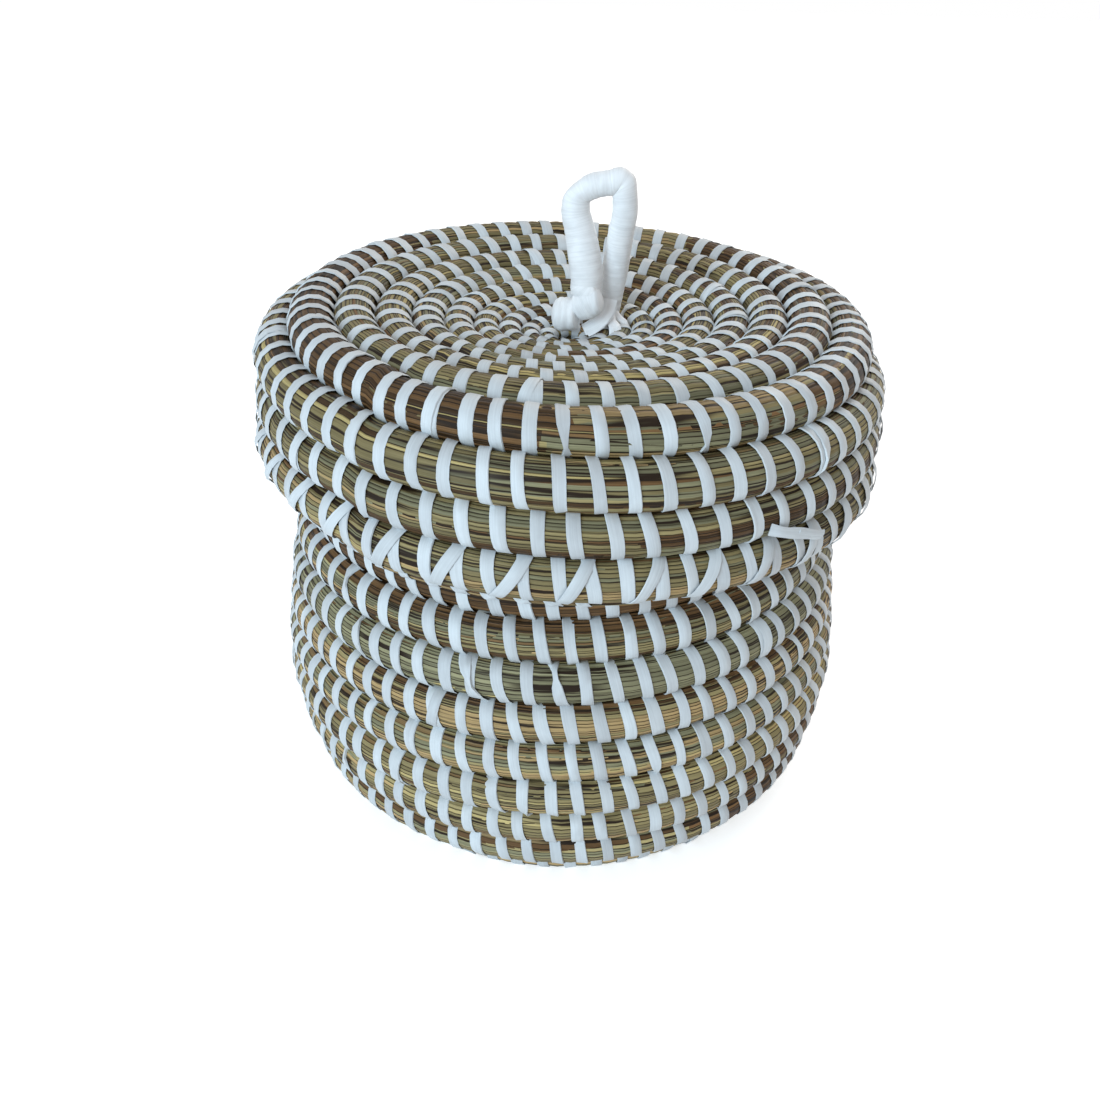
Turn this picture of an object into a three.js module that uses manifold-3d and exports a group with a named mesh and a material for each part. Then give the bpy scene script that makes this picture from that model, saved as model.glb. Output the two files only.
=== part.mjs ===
// A round coiled grass basket with a cap lid and a wrapped loop handle. Millimetres, +Z up.
// The basket stands on z = 0 with its axis on z. The photographed side faces -y.
import * as THREE from "three";
import { mergeVertices } from "three/addons/utils/BufferGeometryUtils.js";
import Module from "manifold-3d";

const wasm = await Module();
wasm.setup();

// Units and tolerances
const MM = 1;
const DEGREE = Math.PI / 180;
const TURN = 2 * Math.PI;
const PIECE_GAP = 0.3 * MM; // between two pieces that touch
const COIL_GAP = 0.6 * MM; // between a coil turn and the turn that it beds on
const LEAST_COIL_GAP = 0.4 * MM;
const WELD_DISTANCE = 0.003 * MM; // points closer than this are one point

// Basket: radii are to the middle of the bundle
const BASE_EYE_RADIUS = 4.8 * MM;
const BASE_EYE_BUNDLE = 5.2 * MM; // thickness of the bundle where the spiral starts
const WALL_BUNDLE = 14.8 * MM; // thickness at the base's edge and up the wall
const MOUTH_BUNDLE = 16 * MM; // thickness of the rows that stand inside the lid
const BASE_RADIUS = 91.5 * MM;
const BASE_RISE = 2 * MM; // how far the middle of the base stands clear of the table
const BELLY_RADIUS = 106.4 * MM;
const MOUTH_RADIUS = 85 * MM;
const WALL_HEIGHT = 178.4 * MM; // base's edge to the top row, bundle middles
const BASKET_START_ANGLE = 208 * DEGREE;
const MOUTH_TAPER = 340 * DEGREE; // the last turn thins out, so that the mouth is level

// Lid: heights are from the plane on which its outer disc turn rests
const LID_EYE_RADIUS = 4.6 * MM;
const LID_EYE_BUNDLE = 4.4 * MM;
const LID_BUNDLE = 14.9 * MM; // thickness at the edge of the disc and down the rim
const LID_OVERHANG = 9 * MM; // shoulder turn past the mouth's top row, bundle middles
const LID_SLACK = 1.2 * MM; // free space between the wall and the hem, all round
const LID_HEM_DROP = 62.6 * MM; // shoulder row to hem, bundle middles
const LID_SINK = 7 * MM; // how far the disc's middle hangs below its edge
const LID_START_ANGLE = 237 * DEGREE;
const TAIL_TAPER = 290 * DEGREE; // the rim's last stretch thins to a tail

// Loop handle
const HANDLE_ASIDE = 9 * MM; // right of the lid's axis
const HANDLE_BEHIND = 3 * MM; // behind the lid's axis
const HANDLE_HEIGHT = 51.4 * MM; // lid's disc to the middle of the loop's crown
const HANDLE_SPREAD = 17 * MM; // between the legs' middles where the loop is widest
const WRAP_DIAMETER = 9.6 * MM;
const KNOTTED_LEG_DIAMETER = 12.4 * MM; // the left leg where it meets the knot
const CORE_DIAMETER = 5.4 * MM;
const KNOT_LENGTH = 20 * MM;
const KNOT_DIAMETER = 12 * MM;
const KNOT_TURN = 8 * DEGREE; // the knot's right end stands a little forward
const STRAP_REACH = 7 * MM; // how far a foot strap runs over the disc
const STRAP_RISE = 6 * MM; // where a foot strap leaves the leg, above the disc
const STRAP_WIDTH = 3.2 * MM; // a strip folded narrower
const STRAP_COUNT = 3;
const STRAP_DIRECTION = -38 * DEGREE; // the middle strap's, in front on the right

// Plastic strip
const STRIP_WIDTH = 4.2 * MM;
const STRIP_THICKNESS = 0.8 * MM; // a doubled strip with its curl
const CROSS_STITCH_PITCH = 19.4 * MM; // between two V shapes on the lid's last full row
const CROSS_STITCH_REACH = 40 * DEGREE; // how far a V goes round the bundle, up and down

// Looks
const GRASS = { color: 0x8d7d4f, roughness: 0.75, metalness: 0 };
const CORE_GRASS = { color: 0x7a6338, roughness: 0.9, metalness: 0 };
const STRIP = { color: 0xe9edf2, roughness: 0.45, metalness: 0 };

// Facets
const STEPS = 24; // rings in one turn of a coil
const COARSE_TURNS = 5; // the small inner turns take half the rings
const TUBE_SIDES = 10;
const KNOT_SIDES = 14;
const BEND_SEGMENTS = 6;
const FINE_POINTS = 400;
const SEAT_TRIES = 6; // steps towards the place at which a turn beds on the turn before it

const lerp = THREE.MathUtils.lerp;
const Z_AXIS = new THREE.Vector3(0, 0, 1);

// A bundle's section, as shares of half its thickness: along the line to the neighbouring turn,
// and across it. Its two flats bed on the turns before and after it.
const flatShare = 0.5;
const ridgeShare = 1.08;
const sectionShares = [
  [1, flatShare],
  [0, ridgeShare],
  [-1, flatShare],
  [-1, -flatShare],
  [0, -ridgeShare],
  [1, -flatShare],
];
const cornerShare = Math.hypot(1, flatShare);

// Solids

function meshSolid(geometry) {
  const bare = geometry.index ? geometry.toNonIndexed() : geometry.clone();
  for (const name of Object.keys(bare.attributes)) {
    if (name !== "position") bare.deleteAttribute(name);
  }
  const merged = mergeVertices(bare, WELD_DISTANCE);
  return new wasm.Manifold(
    new wasm.Mesh({
      numProp: 3,
      vertProperties: merged.attributes.position.array,
      triVerts: new Uint32Array(merged.index.array),
    }),
  );
}

function solidGeometry(solid) {
  const mesh = solid.getMesh();
  const geometry = new THREE.BufferGeometry();
  geometry.setAttribute("position", new THREE.BufferAttribute(mesh.vertProperties, 3));
  geometry.setIndex(new THREE.BufferAttribute(mesh.triVerts, 1));
  return geometry;
}

// Takes away what lies below the given height.
function cutFlat(geometry, height) {
  geometry.computeBoundingBox();
  const size = geometry.boundingBox.getSize(new THREE.Vector3()).multiplyScalar(2);
  const below = new THREE.BoxGeometry(size.x, size.y, size.z);
  below.translate(0, 0, height - size.z / 2);
  return solidGeometry(meshSolid(geometry).subtract(meshSolid(below)));
}

// A closed tube through rings of equally many points. With bore rings the tube is hollow.
function ringTube(rings, bore = []) {
  const sides = rings[0].length;
  const faces = [];
  const skin = (start, count, outward) => {
    for (let i = 0; i < count - 1; i += 1) {
      for (let k = 0; k < sides; k += 1) {
        const a = start + i * sides + k;
        const b = start + i * sides + ((k + 1) % sides);
        const [c, d] = [b + sides, a + sides];
        faces.push(...(outward ? [a, b, c, a, c, d] : [a, c, b, a, d, c]));
      }
    }
  };
  const last = (rings.length - 1) * sides;
  const inner = rings.length * sides;
  const innerLast = inner + (bore.length - 1) * sides;
  skin(0, rings.length, true);
  skin(inner, bore.length, false);
  for (let k = 0; k < sides; k += 1) {
    const next = (k + 1) % sides;
    if (bore.length) {
      faces.push(k, inner + k, inner + next, k, inner + next, next);
      faces.push(last + k, last + next, innerLast + next);
      faces.push(last + k, innerLast + next, innerLast + k);
    } else if (k > 0 && next > 0) {
      faces.push(0, next, k, last, last + k, last + next);
    }
  }
  const points = [...rings, ...bore].flat().flatMap((point) => point.toArray());
  const geometry = new THREE.BufferGeometry();
  geometry.setAttribute("position", new THREE.Float32BufferAttribute(points, 3));
  geometry.setIndex(faces);
  return geometry;
}

// Coils

// The bundle's thickness at a place on the profile. Its section area changes evenly between
// stations of [place, thickness], because stems are added or dropped at a steady rate.
function bundleAt(stations, place) {
  const next = stations.findIndex((station) => station[0] > place);
  if (next < 0) return stations[stations.length - 1][1];
  if (next === 0) return stations[0][1];
  const [from, to] = [stations[next - 1], stations[next]];
  const share = (place - from[0]) / (to[0] - from[0]);
  return Math.sqrt(lerp(from[1] ** 2, to[1] ** 2, share));
}

function profilePoint(profile, place) {
  const length = profile.getLength();
  return profile.getPointAt(THREE.MathUtils.clamp(place / length, 0, 1));
}

// Winds one bundle along a profile of radius and height, each turn bedded on the turn before it,
// until it reaches the profile's end, and thins its last stretch to a tip.
function windCoil({ profile, stations, startAngle, taper, tipShare, taperPower }) {
  const length = profile.getLength();
  const seat = (before, guess, thickness) => {
    let place = guess;
    for (let tries = 0; tries < SEAT_TRIES; tries += 1) {
      const d = thickness(place);
      const wanted = (before.bundle + d) / 2 + COIL_GAP;
      place += wanted - before.centre.distanceTo(profilePoint(profile, place));
    }
    return place;
  };
  const wind = (thinning, stop) => {
    const turns = [];
    for (let i = 0; !stop(i, turns[i - 1]); i += 1) {
      const thickness = (place) => bundleAt(stations, place) * thinning(i);
      const before = turns[i - STEPS];
      const first = (i / STEPS) * (thickness(0) + COIL_GAP);
      const place = before ? seat(before, turns[i - 1].place, thickness) : first;
      const centre = profilePoint(profile, place);
      turns.push({ place, centre, bundle: thickness(place), angle: startAngle + (i / STEPS) * TURN });
    }
    return turns;
  };
  const full = wind(() => 1, (i, last) => last && last.place >= length);
  const thinFrom = full.length - 1 - (taper / TURN) * STEPS;
  const thinning = (i) => {
    const share = THREE.MathUtils.clamp((i - thinFrom) / (full.length - 1 - thinFrom), 0, 1);
    return lerp(tipShare, 1, (1 - share) ** taperPower);
  };
  return wind(thinning, (i) => i === full.length);
}

// The outline of a coil's section in radius and height. Each flat faces the neighbour it beds on.
function sectionOutline(coil, i) {
  const here = coil[i];
  const before = coil[i - STEPS];
  const after = coil[i + STEPS];
  const onward = after && after.centre.clone().sub(here.centre).normalize();
  const back = before && here.centre.clone().sub(before.centre).normalize();
  const across = (along) => new THREE.Vector2(along.y, -along.x);
  const middle = (onward || back).clone().add(back || onward).normalize();
  return sectionShares.map(([alongShare, acrossShare]) => {
    const along = alongShare > 0 ? onward || back : back || onward;
    const side = alongShare === 0 ? middle : along;
    return here.centre
      .clone()
      .addScaledVector(side, (alongShare * here.bundle) / 2)
      .addScaledVector(across(side), (acrossShare * here.bundle) / 2);
  });
}

function onTurn(outlinePoint, angle) {
  return new THREE.Vector3(
    outlinePoint.x * Math.cos(angle),
    outlinePoint.x * Math.sin(angle),
    outlinePoint.y,
  );
}

// The coil's section at a place between two of its rings.
function sectionRing(coil, index) {
  const i = Math.min(Math.floor(index), coil.length - 2);
  const share = index - i;
  const after = sectionOutline(coil, i + 1);
  const angle = lerp(coil[i].angle, coil[i + 1].angle, share);
  return sectionOutline(coil, i).map((p, k) => onTurn(p.lerp(after[k], share), angle));
}

// One stretch of a coil as a closed tube: every ring outside the inner turns, and every second one
// within them. Where the bundle runs on from another stretch, it starts a gap later.
function coilStretch(coil, from, to) {
  const stepLength = (coil[from].centre.x * TURN) / STEPS;
  const start = from > 0 ? from + PIECE_GAP / stepLength : 0;
  const rings = [sectionRing(coil, start)];
  for (let i = from + 1; i <= to; i += 1) {
    if (i > COARSE_TURNS * STEPS || i % 2 === 0 || i === to) rings.push(sectionRing(coil, i));
  }
  return ringTube(rings);
}

// The first ring at or past a place on the profile.
function ringAt(coil, place) {
  return coil.findIndex((turn) => turn.place >= place);
}

// The least distance between a turn's outline points and the outline of the turn that it beds on.
function leastCoilGap(coil) {
  let least = Infinity;
  for (let i = STEPS; i < coil.length; i += 1) {
    const here = sectionOutline(coil, i);
    const before = sectionOutline(coil, i - STEPS);
    const gaps = [...here.map((p) => toOutline(p, before)), ...before.map((p) => toOutline(p, here))];
    least = Math.min(least, ...gaps);
  }
  return least;
}

function toOutline(point, outline) {
  return Math.min(
    ...outline.map((a, k) => {
      const edge = outline[(k + 1) % outline.length].clone().sub(a);
      const along = THREE.MathUtils.clamp(point.clone().sub(a).dot(edge) / edge.lengthSq(), 0, 1);
      return point.distanceTo(a.clone().addScaledVector(edge, along));
    }),
  );
}

function reportGap(name, coil) {
  const gap = leastCoilGap(coil);
  const verdict = gap > LEAST_COIL_GAP ? "clear" : "too close";
  const turns = ((coil.length - 1) / STEPS).toFixed(2);
  console.log(`${name}: ${turns} turns, least gap to itself ${gap.toFixed(2)} mm, ${verdict}`);
}

// Basket

// Wall outline from the base's edge to the mouth: how far the radius has moved from the base's to
// the belly's, or from the mouth's to the belly's, and the share of the wall's height.
const lowerWallShares = [
  [0, 0],
  [0.64, 0.07],
  [0.88, 0.157],
  [1, 0.267],
];
const upperWallShares = [
  [0.87, 0.4],
  [0.71, 0.524],
  [0.49, 0.619],
  [0.31, 0.695],
  [0.12, 0.8],
  [0, 1],
];
const mouthTipShare = 0.06; // the bundle's thickness at its tip
const pressedShare = 0.1; // of the outer base turn, where it stands on the table
const MOUTH_ROWS = 4;

function basketProfile() {
  const edgeHeight = edgeBundleHeight();
  const wall = [
    ...lowerWallShares.map(([out, up]) => [lerp(BASE_RADIUS, BELLY_RADIUS, out), up]),
    ...upperWallShares.map(([out, up]) => [lerp(MOUTH_RADIUS, BELLY_RADIUS, out), up]),
  ].map(([radius, up]) => new THREE.Vector2(radius, edgeHeight + up * WALL_HEIGHT));
  const eyeHeight = BASE_RISE + (ridgeShare * BASE_EYE_BUNDLE) / 2;
  const profile = new THREE.CurvePath();
  profile.add(new THREE.LineCurve(new THREE.Vector2(BASE_EYE_RADIUS, eyeHeight), wall[0]));
  profile.add(new THREE.SplineCurve(wall));
  return profile;
}

// The base's outer turn is pressed flat where it stands on the table.
function edgeBundleHeight() {
  return (ridgeShare / 2 - pressedShare) * WALL_BUNDLE;
}

// Where the rows that stand inside the lid begin on the profile.
function mouthStart(profile) {
  return profile.getLength() - MOUTH_ROWS * MOUTH_BUNDLE;
}

function basketCoil(profile) {
  const [baseEdge] = profile.getCurveLengths();
  const mouth = mouthStart(profile);
  return windCoil({
    profile,
    stations: [
      [0, BASE_EYE_BUNDLE],
      [baseEdge, WALL_BUNDLE],
      [mouth, WALL_BUNDLE],
      [lerp(mouth, profile.getLength(), 1 / 2), MOUTH_BUNDLE],
    ],
    startAngle: BASKET_START_ANGLE,
    taper: MOUTH_TAPER,
    tipShare: mouthTipShare,
    taperPower: 1,
  });
}

// Lid

// Rim outline from the shoulder to the hem, as shares of the way out and of the way down.
const rimShares = [
  [0, 0],
  [0.81, 0.145],
  [0.91, 0.4],
  [1, 0.65],
  [1, 1],
];
const tailTipShare = 0.16; // the bundle's thickness at the end of its tail
const tailPower = 1.5; // how much faster the tail thins at first

const shoulderHeight = (ridgeShare * LID_BUNDLE) / 2;
const shoulderRadius = MOUTH_RADIUS + LID_OVERHANG;

// The hem clears the widest part of the wall that it goes over.
function hemRadius(wall) {
  const mouthTop = edgeBundleHeight() + WALL_HEIGHT + MOUTH_BUNDLE / 2;
  const hemBottom = mouthTop + shoulderHeight - LID_HEM_DROP - LID_BUNDLE / 2;
  const inside = wall.getSpacedPoints(FINE_POINTS).filter((point) => point.y > hemBottom);
  const widest = Math.max(...inside.map((point) => point.x));
  return widest + (ridgeShare * (MOUTH_BUNDLE + LID_BUNDLE)) / 2 + LID_SLACK;
}

function lidProfile(wall) {
  const hem = hemRadius(wall);
  const rim = rimShares.map(
    ([out, down]) =>
      new THREE.Vector2(lerp(shoulderRadius, hem, out), shoulderHeight - down * LID_HEM_DROP),
  );
  const eye = new THREE.Vector2(LID_EYE_RADIUS, (ridgeShare * LID_EYE_BUNDLE) / 2 - LID_SINK);
  const profile = new THREE.CurvePath();
  profile.add(new THREE.LineCurve(eye, rim[0]));
  profile.add(new THREE.SplineCurve(rim));
  return profile;
}

function lidCoil(profile) {
  const discLength = profile.getCurveLengths()[0];
  return windCoil({
    profile,
    stations: [
      [0, LID_EYE_BUNDLE],
      [discLength, LID_BUNDLE],
    ],
    startAngle: LID_START_ANGLE,
    taper: TAIL_TAPER,
    tipShare: tailTipShare,
    taperPower: tailPower,
  });
}

// How high the lid's frame lies above the table, so that its disc rests on the mouth's highest place.
function lidSeat(basket, lid) {
  const mouthTop = outlinePoints(basket).map(({ point }) => point.y);
  const overMouth = outlinePoints(lid).filter(
    ({ point }) => point.x > MOUTH_RADIUS - MOUTH_BUNDLE && point.x < shoulderRadius,
  );
  const underside = overMouth.map(({ point }) => point.y);
  return Math.max(...mouthTop) - Math.min(...underside) + PIECE_GAP;
}

function outlinePoints(coil) {
  return coil.flatMap((turn, i) =>
    sectionOutline(coil, i).map((point) => ({ point, angle: turn.angle })),
  );
}

// The height of the disc's surface, out to the given radius.
function discTop(lid, radius) {
  const near = outlinePoints(lid).filter(({ point }) => point.x < radius);
  return Math.max(...near.map(({ point }) => point.y));
}

// A place on a coil between its rings, with the direction out of the bundle that lies at the given
// angle from its outermost ridge.
function coilPlace(coil, index, outAngle) {
  const i = Math.min(Math.floor(index), coil.length - 2);
  const share = index - i;
  const centre = coil[i].centre.clone().lerp(coil[i + 1].centre, share);
  const angle = lerp(coil[i].angle, coil[i + 1].angle, share);
  const bundle = lerp(coil[i].bundle, coil[i + 1].bundle, share);
  const ridge = outermostPoint(sectionOutline(coil, i)).sub(coil[i].centre).normalize();
  return { centre, angle, bundle, out: ridge.rotateAround(new THREE.Vector2(), outAngle) };
}

function outermostPoint(outline) {
  return outline.reduce((far, point) => (point.x > far.x ? point : far));
}

// One V of the cross stitch: share of the pitch, and share of the reach up or down.
const veeShares = [
  [0, -1],
  [0.13, -0.5],
  [0.26, 0],
  [0.38, 0.5],
  [0.5, 1],
  [0.63, 0.5],
  [0.75, 0],
  [0.88, -0.5],
];
const stripCornerShares = [
  [-0.5, -0.5],
  [-0.5, 0.5],
  [0.5, 0.5],
  [0.5, -0.5],
];

// The rim's cross stitch: one strip that runs up and down over the last full row in V shapes.
function crossStitch(lid) {
  const lastFull = lid.length - 1 - (TAIL_TAPER / TURN) * STEPS;
  const row = coilPlace(lid, lastFull, 0);
  const vees = Math.round((TURN * row.centre.x) / CROSS_STITCH_PITCH);
  const stations = Array.from({ length: vees * veeShares.length + 1 }, (_, j) => {
    const [along, up] = veeShares[j % veeShares.length];
    const turned = (Math.floor(j / veeShares.length) + along) / vees;
    const place = coilPlace(lid, lastFull - STEPS + turned * STEPS, up * CROSS_STITCH_REACH);
    const off = (cornerShare * place.bundle) / 2 + PIECE_GAP + STRIP_THICKNESS / 2;
    return {
      middle: onTurn(place.centre.clone().addScaledVector(place.out, off), place.angle),
      out: onTurn(place.out, place.angle),
    };
  });
  const rings = stations.map(({ middle, out }, j) => {
    const from = stations[Math.max(j - 1, 0)].middle;
    const to = stations[Math.min(j + 1, stations.length - 1)].middle;
    const onward = to.clone().sub(from).normalize();
    const across = onward.clone().cross(out).normalize();
    return stripCornerShares.map(([wide, thick]) =>
      middle
        .clone()
        .addScaledVector(across, wide * STRIP_WIDTH)
        .addScaledVector(out, thick * STRIP_THICKNESS),
    );
  });
  return ringTube(rings);
}

// Handle, in a frame that stands on the disc's surface at the middle of the loop's foot

// The loop's middle line from the knot up, over the crown and down to the right foot, as shares of
// the spread aside and backwards, and of the height.
const loopShares = [
  [-0.22, -0.22, 0.37],
  [-0.3, -0.14, 0.53],
  [-0.4, -0.05, 0.67],
  [-0.5, 0, 0.8],
  [-0.45, 0, 0.91],
  [-0.2, 0, 0.96],
  [0.14, 0, 0.985],
  [0.42, 0, 0.985],
  [0.53, 0, 0.83],
  [0.48, 0.07, 0.64],
  [0.43, 0.18, 0.45],
  [0.35, 0.3, 0.22],
];
const leftFootShare = [-0.21, -0.24];
const rightFootShare = [0.31, 0.36];

function handlePath() {
  const [left, right] = [leftFootShare, rightFootShare].map(([aside, behind]) => [
    aside * HANDLE_SPREAD,
    behind * HANDLE_SPREAD,
  ]);
  const loop = loopShares.map(
    ([aside, behind, up]) =>
      new THREE.Vector3(aside * HANDLE_SPREAD, behind * HANDLE_SPREAD, up * HANDLE_HEIGHT),
  );
  const footHeight = KNOT_DIAMETER + PIECE_GAP;
  return new THREE.CatmullRomCurve3([
    new THREE.Vector3(...left, footHeight),
    ...loop,
    new THREE.Vector3(...right, 0),
  ]);
}

function wrapCount(path) {
  return Math.round(path.getLength() / STRIP_WIDTH);
}

const slipShare = 0.88; // of a wrap's width, the rest goes under the next wrap

const thickLegShare = 0.42; // of the loop's length, where the left leg is as thin as the rest

// Rings round the loop's middle line at a place counted in wraps.
function loopRings(path) {
  const wraps = wrapCount(path);
  const frames = path.computeFrenetFrames(wraps);
  const places = path.getSpacedPoints(wraps);
  return (place, radius) => {
    const i = Math.min(Math.floor(place), wraps - 1);
    const share = place - i;
    const middle = places[i].clone().lerp(places[i + 1], share);
    const normal = frames.normals[i].clone().lerp(frames.normals[i + 1], share).normalize();
    const binormal = frames.binormals[i].clone().lerp(frames.binormals[i + 1], share).normalize();
    return Array.from({ length: TUBE_SIDES }, (_, k) => {
      const angle = (k / TUBE_SIDES) * TURN;
      return middle
        .clone()
        .addScaledVector(normal, radius * Math.cos(angle))
        .addScaledVector(binormal, radius * Math.sin(angle));
    });
  };
}

// Closely wound strip: each wrap stands highest where it begins and slips under the next one.
function handleWrap(path) {
  const wraps = wrapCount(path);
  const ring = loopRings(path);
  const wrapRadius = (place) => {
    const thinned = Math.min(place / (thickLegShare * wraps), 1);
    return lerp(KNOTTED_LEG_DIAMETER, WRAP_DIAMETER, thinned) / 2;
  };
  const outer = [];
  const bore = [];
  for (let i = 0; i < wraps; i += 1) {
    outer.push(ring(i, wrapRadius(i)));
    outer.push(ring(i + slipShare, wrapRadius(i) - STRIP_THICKNESS));
  }
  for (let i = 0; i <= wraps; i += 1) {
    bore.push(ring(i, CORE_DIAMETER / 2 + PIECE_GAP));
  }
  outer.push(ring(wraps, wrapRadius(wraps) - STRIP_THICKNESS));
  return ringTube(outer, bore);
}

function handleCore(path) {
  const ring = loopRings(path);
  return ringTube(Array.from({ length: wrapCount(path) + 1 }, (_, i) => ring(i, CORE_DIAMETER / 2)));
}

// The knot's outline: how much thinner its ends are, and within each wrap the share of its width
// and the share of the strip's thickness by which it lies deeper.
const knotTaperShare = 0.35;
const knotWrapShares = [
  [0.06, 0.5],
  [0.5, 0],
  [0.94, 0.5],
];
const knotAsideShare = -0.12; // its middle from the left foot, as a share of its length

// The wrapped lump under the left leg: a barrel with a groove between each two wraps of strip.
function handleKnot() {
  const wraps = Math.round(KNOT_LENGTH / STRIP_WIDTH);
  const outline = [new THREE.Vector2(0, -KNOT_LENGTH / 2)];
  const barrel = (share) => (KNOT_DIAMETER / 2) * (1 - knotTaperShare * (2 * share - 1) ** 4);
  for (let i = 0; i < wraps; i += 1) {
    for (const [within, deeper] of knotWrapShares) {
      const share = (i + within) / wraps;
      const radius = barrel(share) - deeper * STRIP_THICKNESS;
      outline.push(new THREE.Vector2(radius, (share - 1 / 2) * KNOT_LENGTH));
    }
  }
  outline.push(new THREE.Vector2(0, KNOT_LENGTH / 2));
  const knot = new THREE.LatheGeometry(outline, KNOT_SIDES);
  return knot.rotateZ(-TURN / 4).rotateZ(-KNOT_TURN);
}

// A strip that leaves the leg, bends down and lies on the disc.
function footStrap() {
  const start = WRAP_DIAMETER / 2 + PIECE_GAP;
  const end = start + STRAP_REACH;
  const side = new THREE.Shape();
  side.moveTo(start, STRAP_RISE);
  side.quadraticCurveTo(start, 0, end, 0);
  side.lineTo(end, STRIP_THICKNESS);
  side.quadraticCurveTo(start + STRIP_THICKNESS, STRIP_THICKNESS, start + STRIP_THICKNESS, STRAP_RISE);
  side.closePath();
  const strap = new THREE.ExtrudeGeometry(side, {
    depth: STRAP_WIDTH,
    bevelEnabled: false,
    curveSegments: BEND_SEGMENTS,
  });
  return strap.translate(0, 0, -STRAP_WIDTH / 2).rotateX(TURN / 4);
}

// Assembly

function addPiece(parent, name, geometry, look) {
  const mesh = new THREE.Mesh(geometry, new THREE.MeshStandardMaterial(look));
  mesh.name = name;
  parent.add(mesh);
  return mesh;
}

function buildHandle(lid) {
  const path = handlePath();
  const [leftFoot, rightFoot] = [path.getPoint(0), path.getPoint(1)];
  const place = new THREE.Vector3(HANDLE_ASIDE, HANDLE_BEHIND, 0);
  const onDisc = (point, reach) => discTop(lid, Math.hypot(point.x, point.y) + reach) + PIECE_GAP;
  place.z = onDisc(rightFoot.clone().add(place), WRAP_DIAMETER / 2);
  const handle = new THREE.Group();
  handle.position.copy(place);
  addPiece(handle, "handle_wrap", handleWrap(path), STRIP);
  addPiece(handle, "handle_core", handleCore(path), CORE_GRASS);
  const knot = addPiece(handle, "handle_knot", handleKnot(), STRIP);
  knot.position.set(leftFoot.x + knotAsideShare * KNOT_LENGTH, leftFoot.y, KNOT_DIAMETER / 2);
  // The straps leave the leg side by side, so they fan out over the disc.
  const fan = 2 * Math.atan((STRAP_WIDTH + PIECE_GAP) / WRAP_DIAMETER);
  for (let i = 0; i < STRAP_COUNT; i += 1) {
    const direction = STRAP_DIRECTION + (i - (STRAP_COUNT - 1) / 2) * fan;
    const strap = addPiece(handle, `foot_strap_${i + 1}`, footStrap(), STRIP);
    const tip = new THREE.Vector3(WRAP_DIAMETER / 2 + STRAP_REACH, 0, 0);
    tip.applyAxisAngle(Z_AXIS, direction).add(rightFoot).add(place);
    strap.position.set(rightFoot.x, rightFoot.y, onDisc(tip, STRAP_WIDTH / 2) - place.z);
    strap.rotation.z = direction;
  }
  return handle;
}

// Adds a coil as stretches that follow one another, each from its place on the profile.
function addCoil(parent, coil, stretches, finish = (geometry) => geometry) {
  const starts = stretches.map(([, place]) => ringAt(coil, place));
  stretches.forEach(([name], i) => {
    const end = starts[i + 1] || coil.length - 1;
    addPiece(parent, name, finish(coilStretch(coil, starts[i], end)), GRASS);
  });
}

function buildObject() {
  const basketLine = basketProfile();
  const lidLine = lidProfile(basketLine.curves[1]);
  const basket = basketCoil(basketLine);
  const lid = lidCoil(lidLine);
  reportGap("basket coil", basket);
  reportGap("lid coil", lid);
  const object = new THREE.Group();
  const basketStretches = [
    ["basket_base", 0],
    ["basket_wall", basketLine.getCurveLengths()[0]],
    ["basket_mouth", mouthStart(basketLine)],
  ];
  addCoil(object, basket, basketStretches, (geometry) => cutFlat(geometry, 0));
  const cover = new THREE.Group();
  const lidStretches = [
    ["lid_top", 0],
    ["lid_rim", lidLine.getCurveLengths()[0]],
  ];
  addCoil(cover, lid, lidStretches);
  addPiece(cover, "rim_cross_stitch", crossStitch(lid), STRIP);
  cover.add(buildHandle(lid));
  cover.position.z = lidSeat(basket, lid);
  object.add(cover);
  return centred(object);
}

// Puts the middle of the object's own outline over the origin.
function centred(object) {
  const middle = new THREE.Box3().setFromObject(object, true).getCenter(new THREE.Vector3());
  object.position.set(-middle.x, -middle.y, 0);
  return object;
}

export default buildObject();
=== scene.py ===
# A round coiled grass basket with a cap lid and a wrapped loop handle, dressed over its frame.
from types import SimpleNamespace

import bpy
import numpy as np
from bpy.props import FloatProperty, FloatVectorProperty, IntProperty, PointerProperty
from mathutils import Matrix


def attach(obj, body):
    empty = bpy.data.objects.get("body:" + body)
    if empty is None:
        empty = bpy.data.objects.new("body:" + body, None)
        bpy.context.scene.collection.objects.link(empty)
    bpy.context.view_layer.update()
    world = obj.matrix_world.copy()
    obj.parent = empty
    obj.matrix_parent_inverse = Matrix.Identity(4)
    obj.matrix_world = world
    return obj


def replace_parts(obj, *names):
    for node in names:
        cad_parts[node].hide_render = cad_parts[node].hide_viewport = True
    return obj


bl_info = {
    "name": "Coiled grass box",
    "version": (1, 0, 0),
    "blender": (4, 5, 0),
    "location": "3D View > Sidebar > Grass box",
    "description": "Winds and sews a coiled grass basket with a cap lid and a loop handle",
    "category": "Add Mesh",
}

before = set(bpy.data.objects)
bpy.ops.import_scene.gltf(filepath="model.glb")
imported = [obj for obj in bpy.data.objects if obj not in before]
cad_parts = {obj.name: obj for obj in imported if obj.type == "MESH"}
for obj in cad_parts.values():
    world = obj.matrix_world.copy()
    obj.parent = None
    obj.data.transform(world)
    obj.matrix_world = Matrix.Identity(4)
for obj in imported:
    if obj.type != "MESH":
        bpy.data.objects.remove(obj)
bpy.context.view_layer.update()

# Lengths in the making of shapes are millimetres. Meshes are written in metres.
MM = 0.001
TURN = 2 * np.pi
DEGREE = np.pi / 180

# Where the basket's axis stands and how high the lid rests
AXIS = (0.1846, 0.0926)
LID_SEAT = 181.3543

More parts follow.
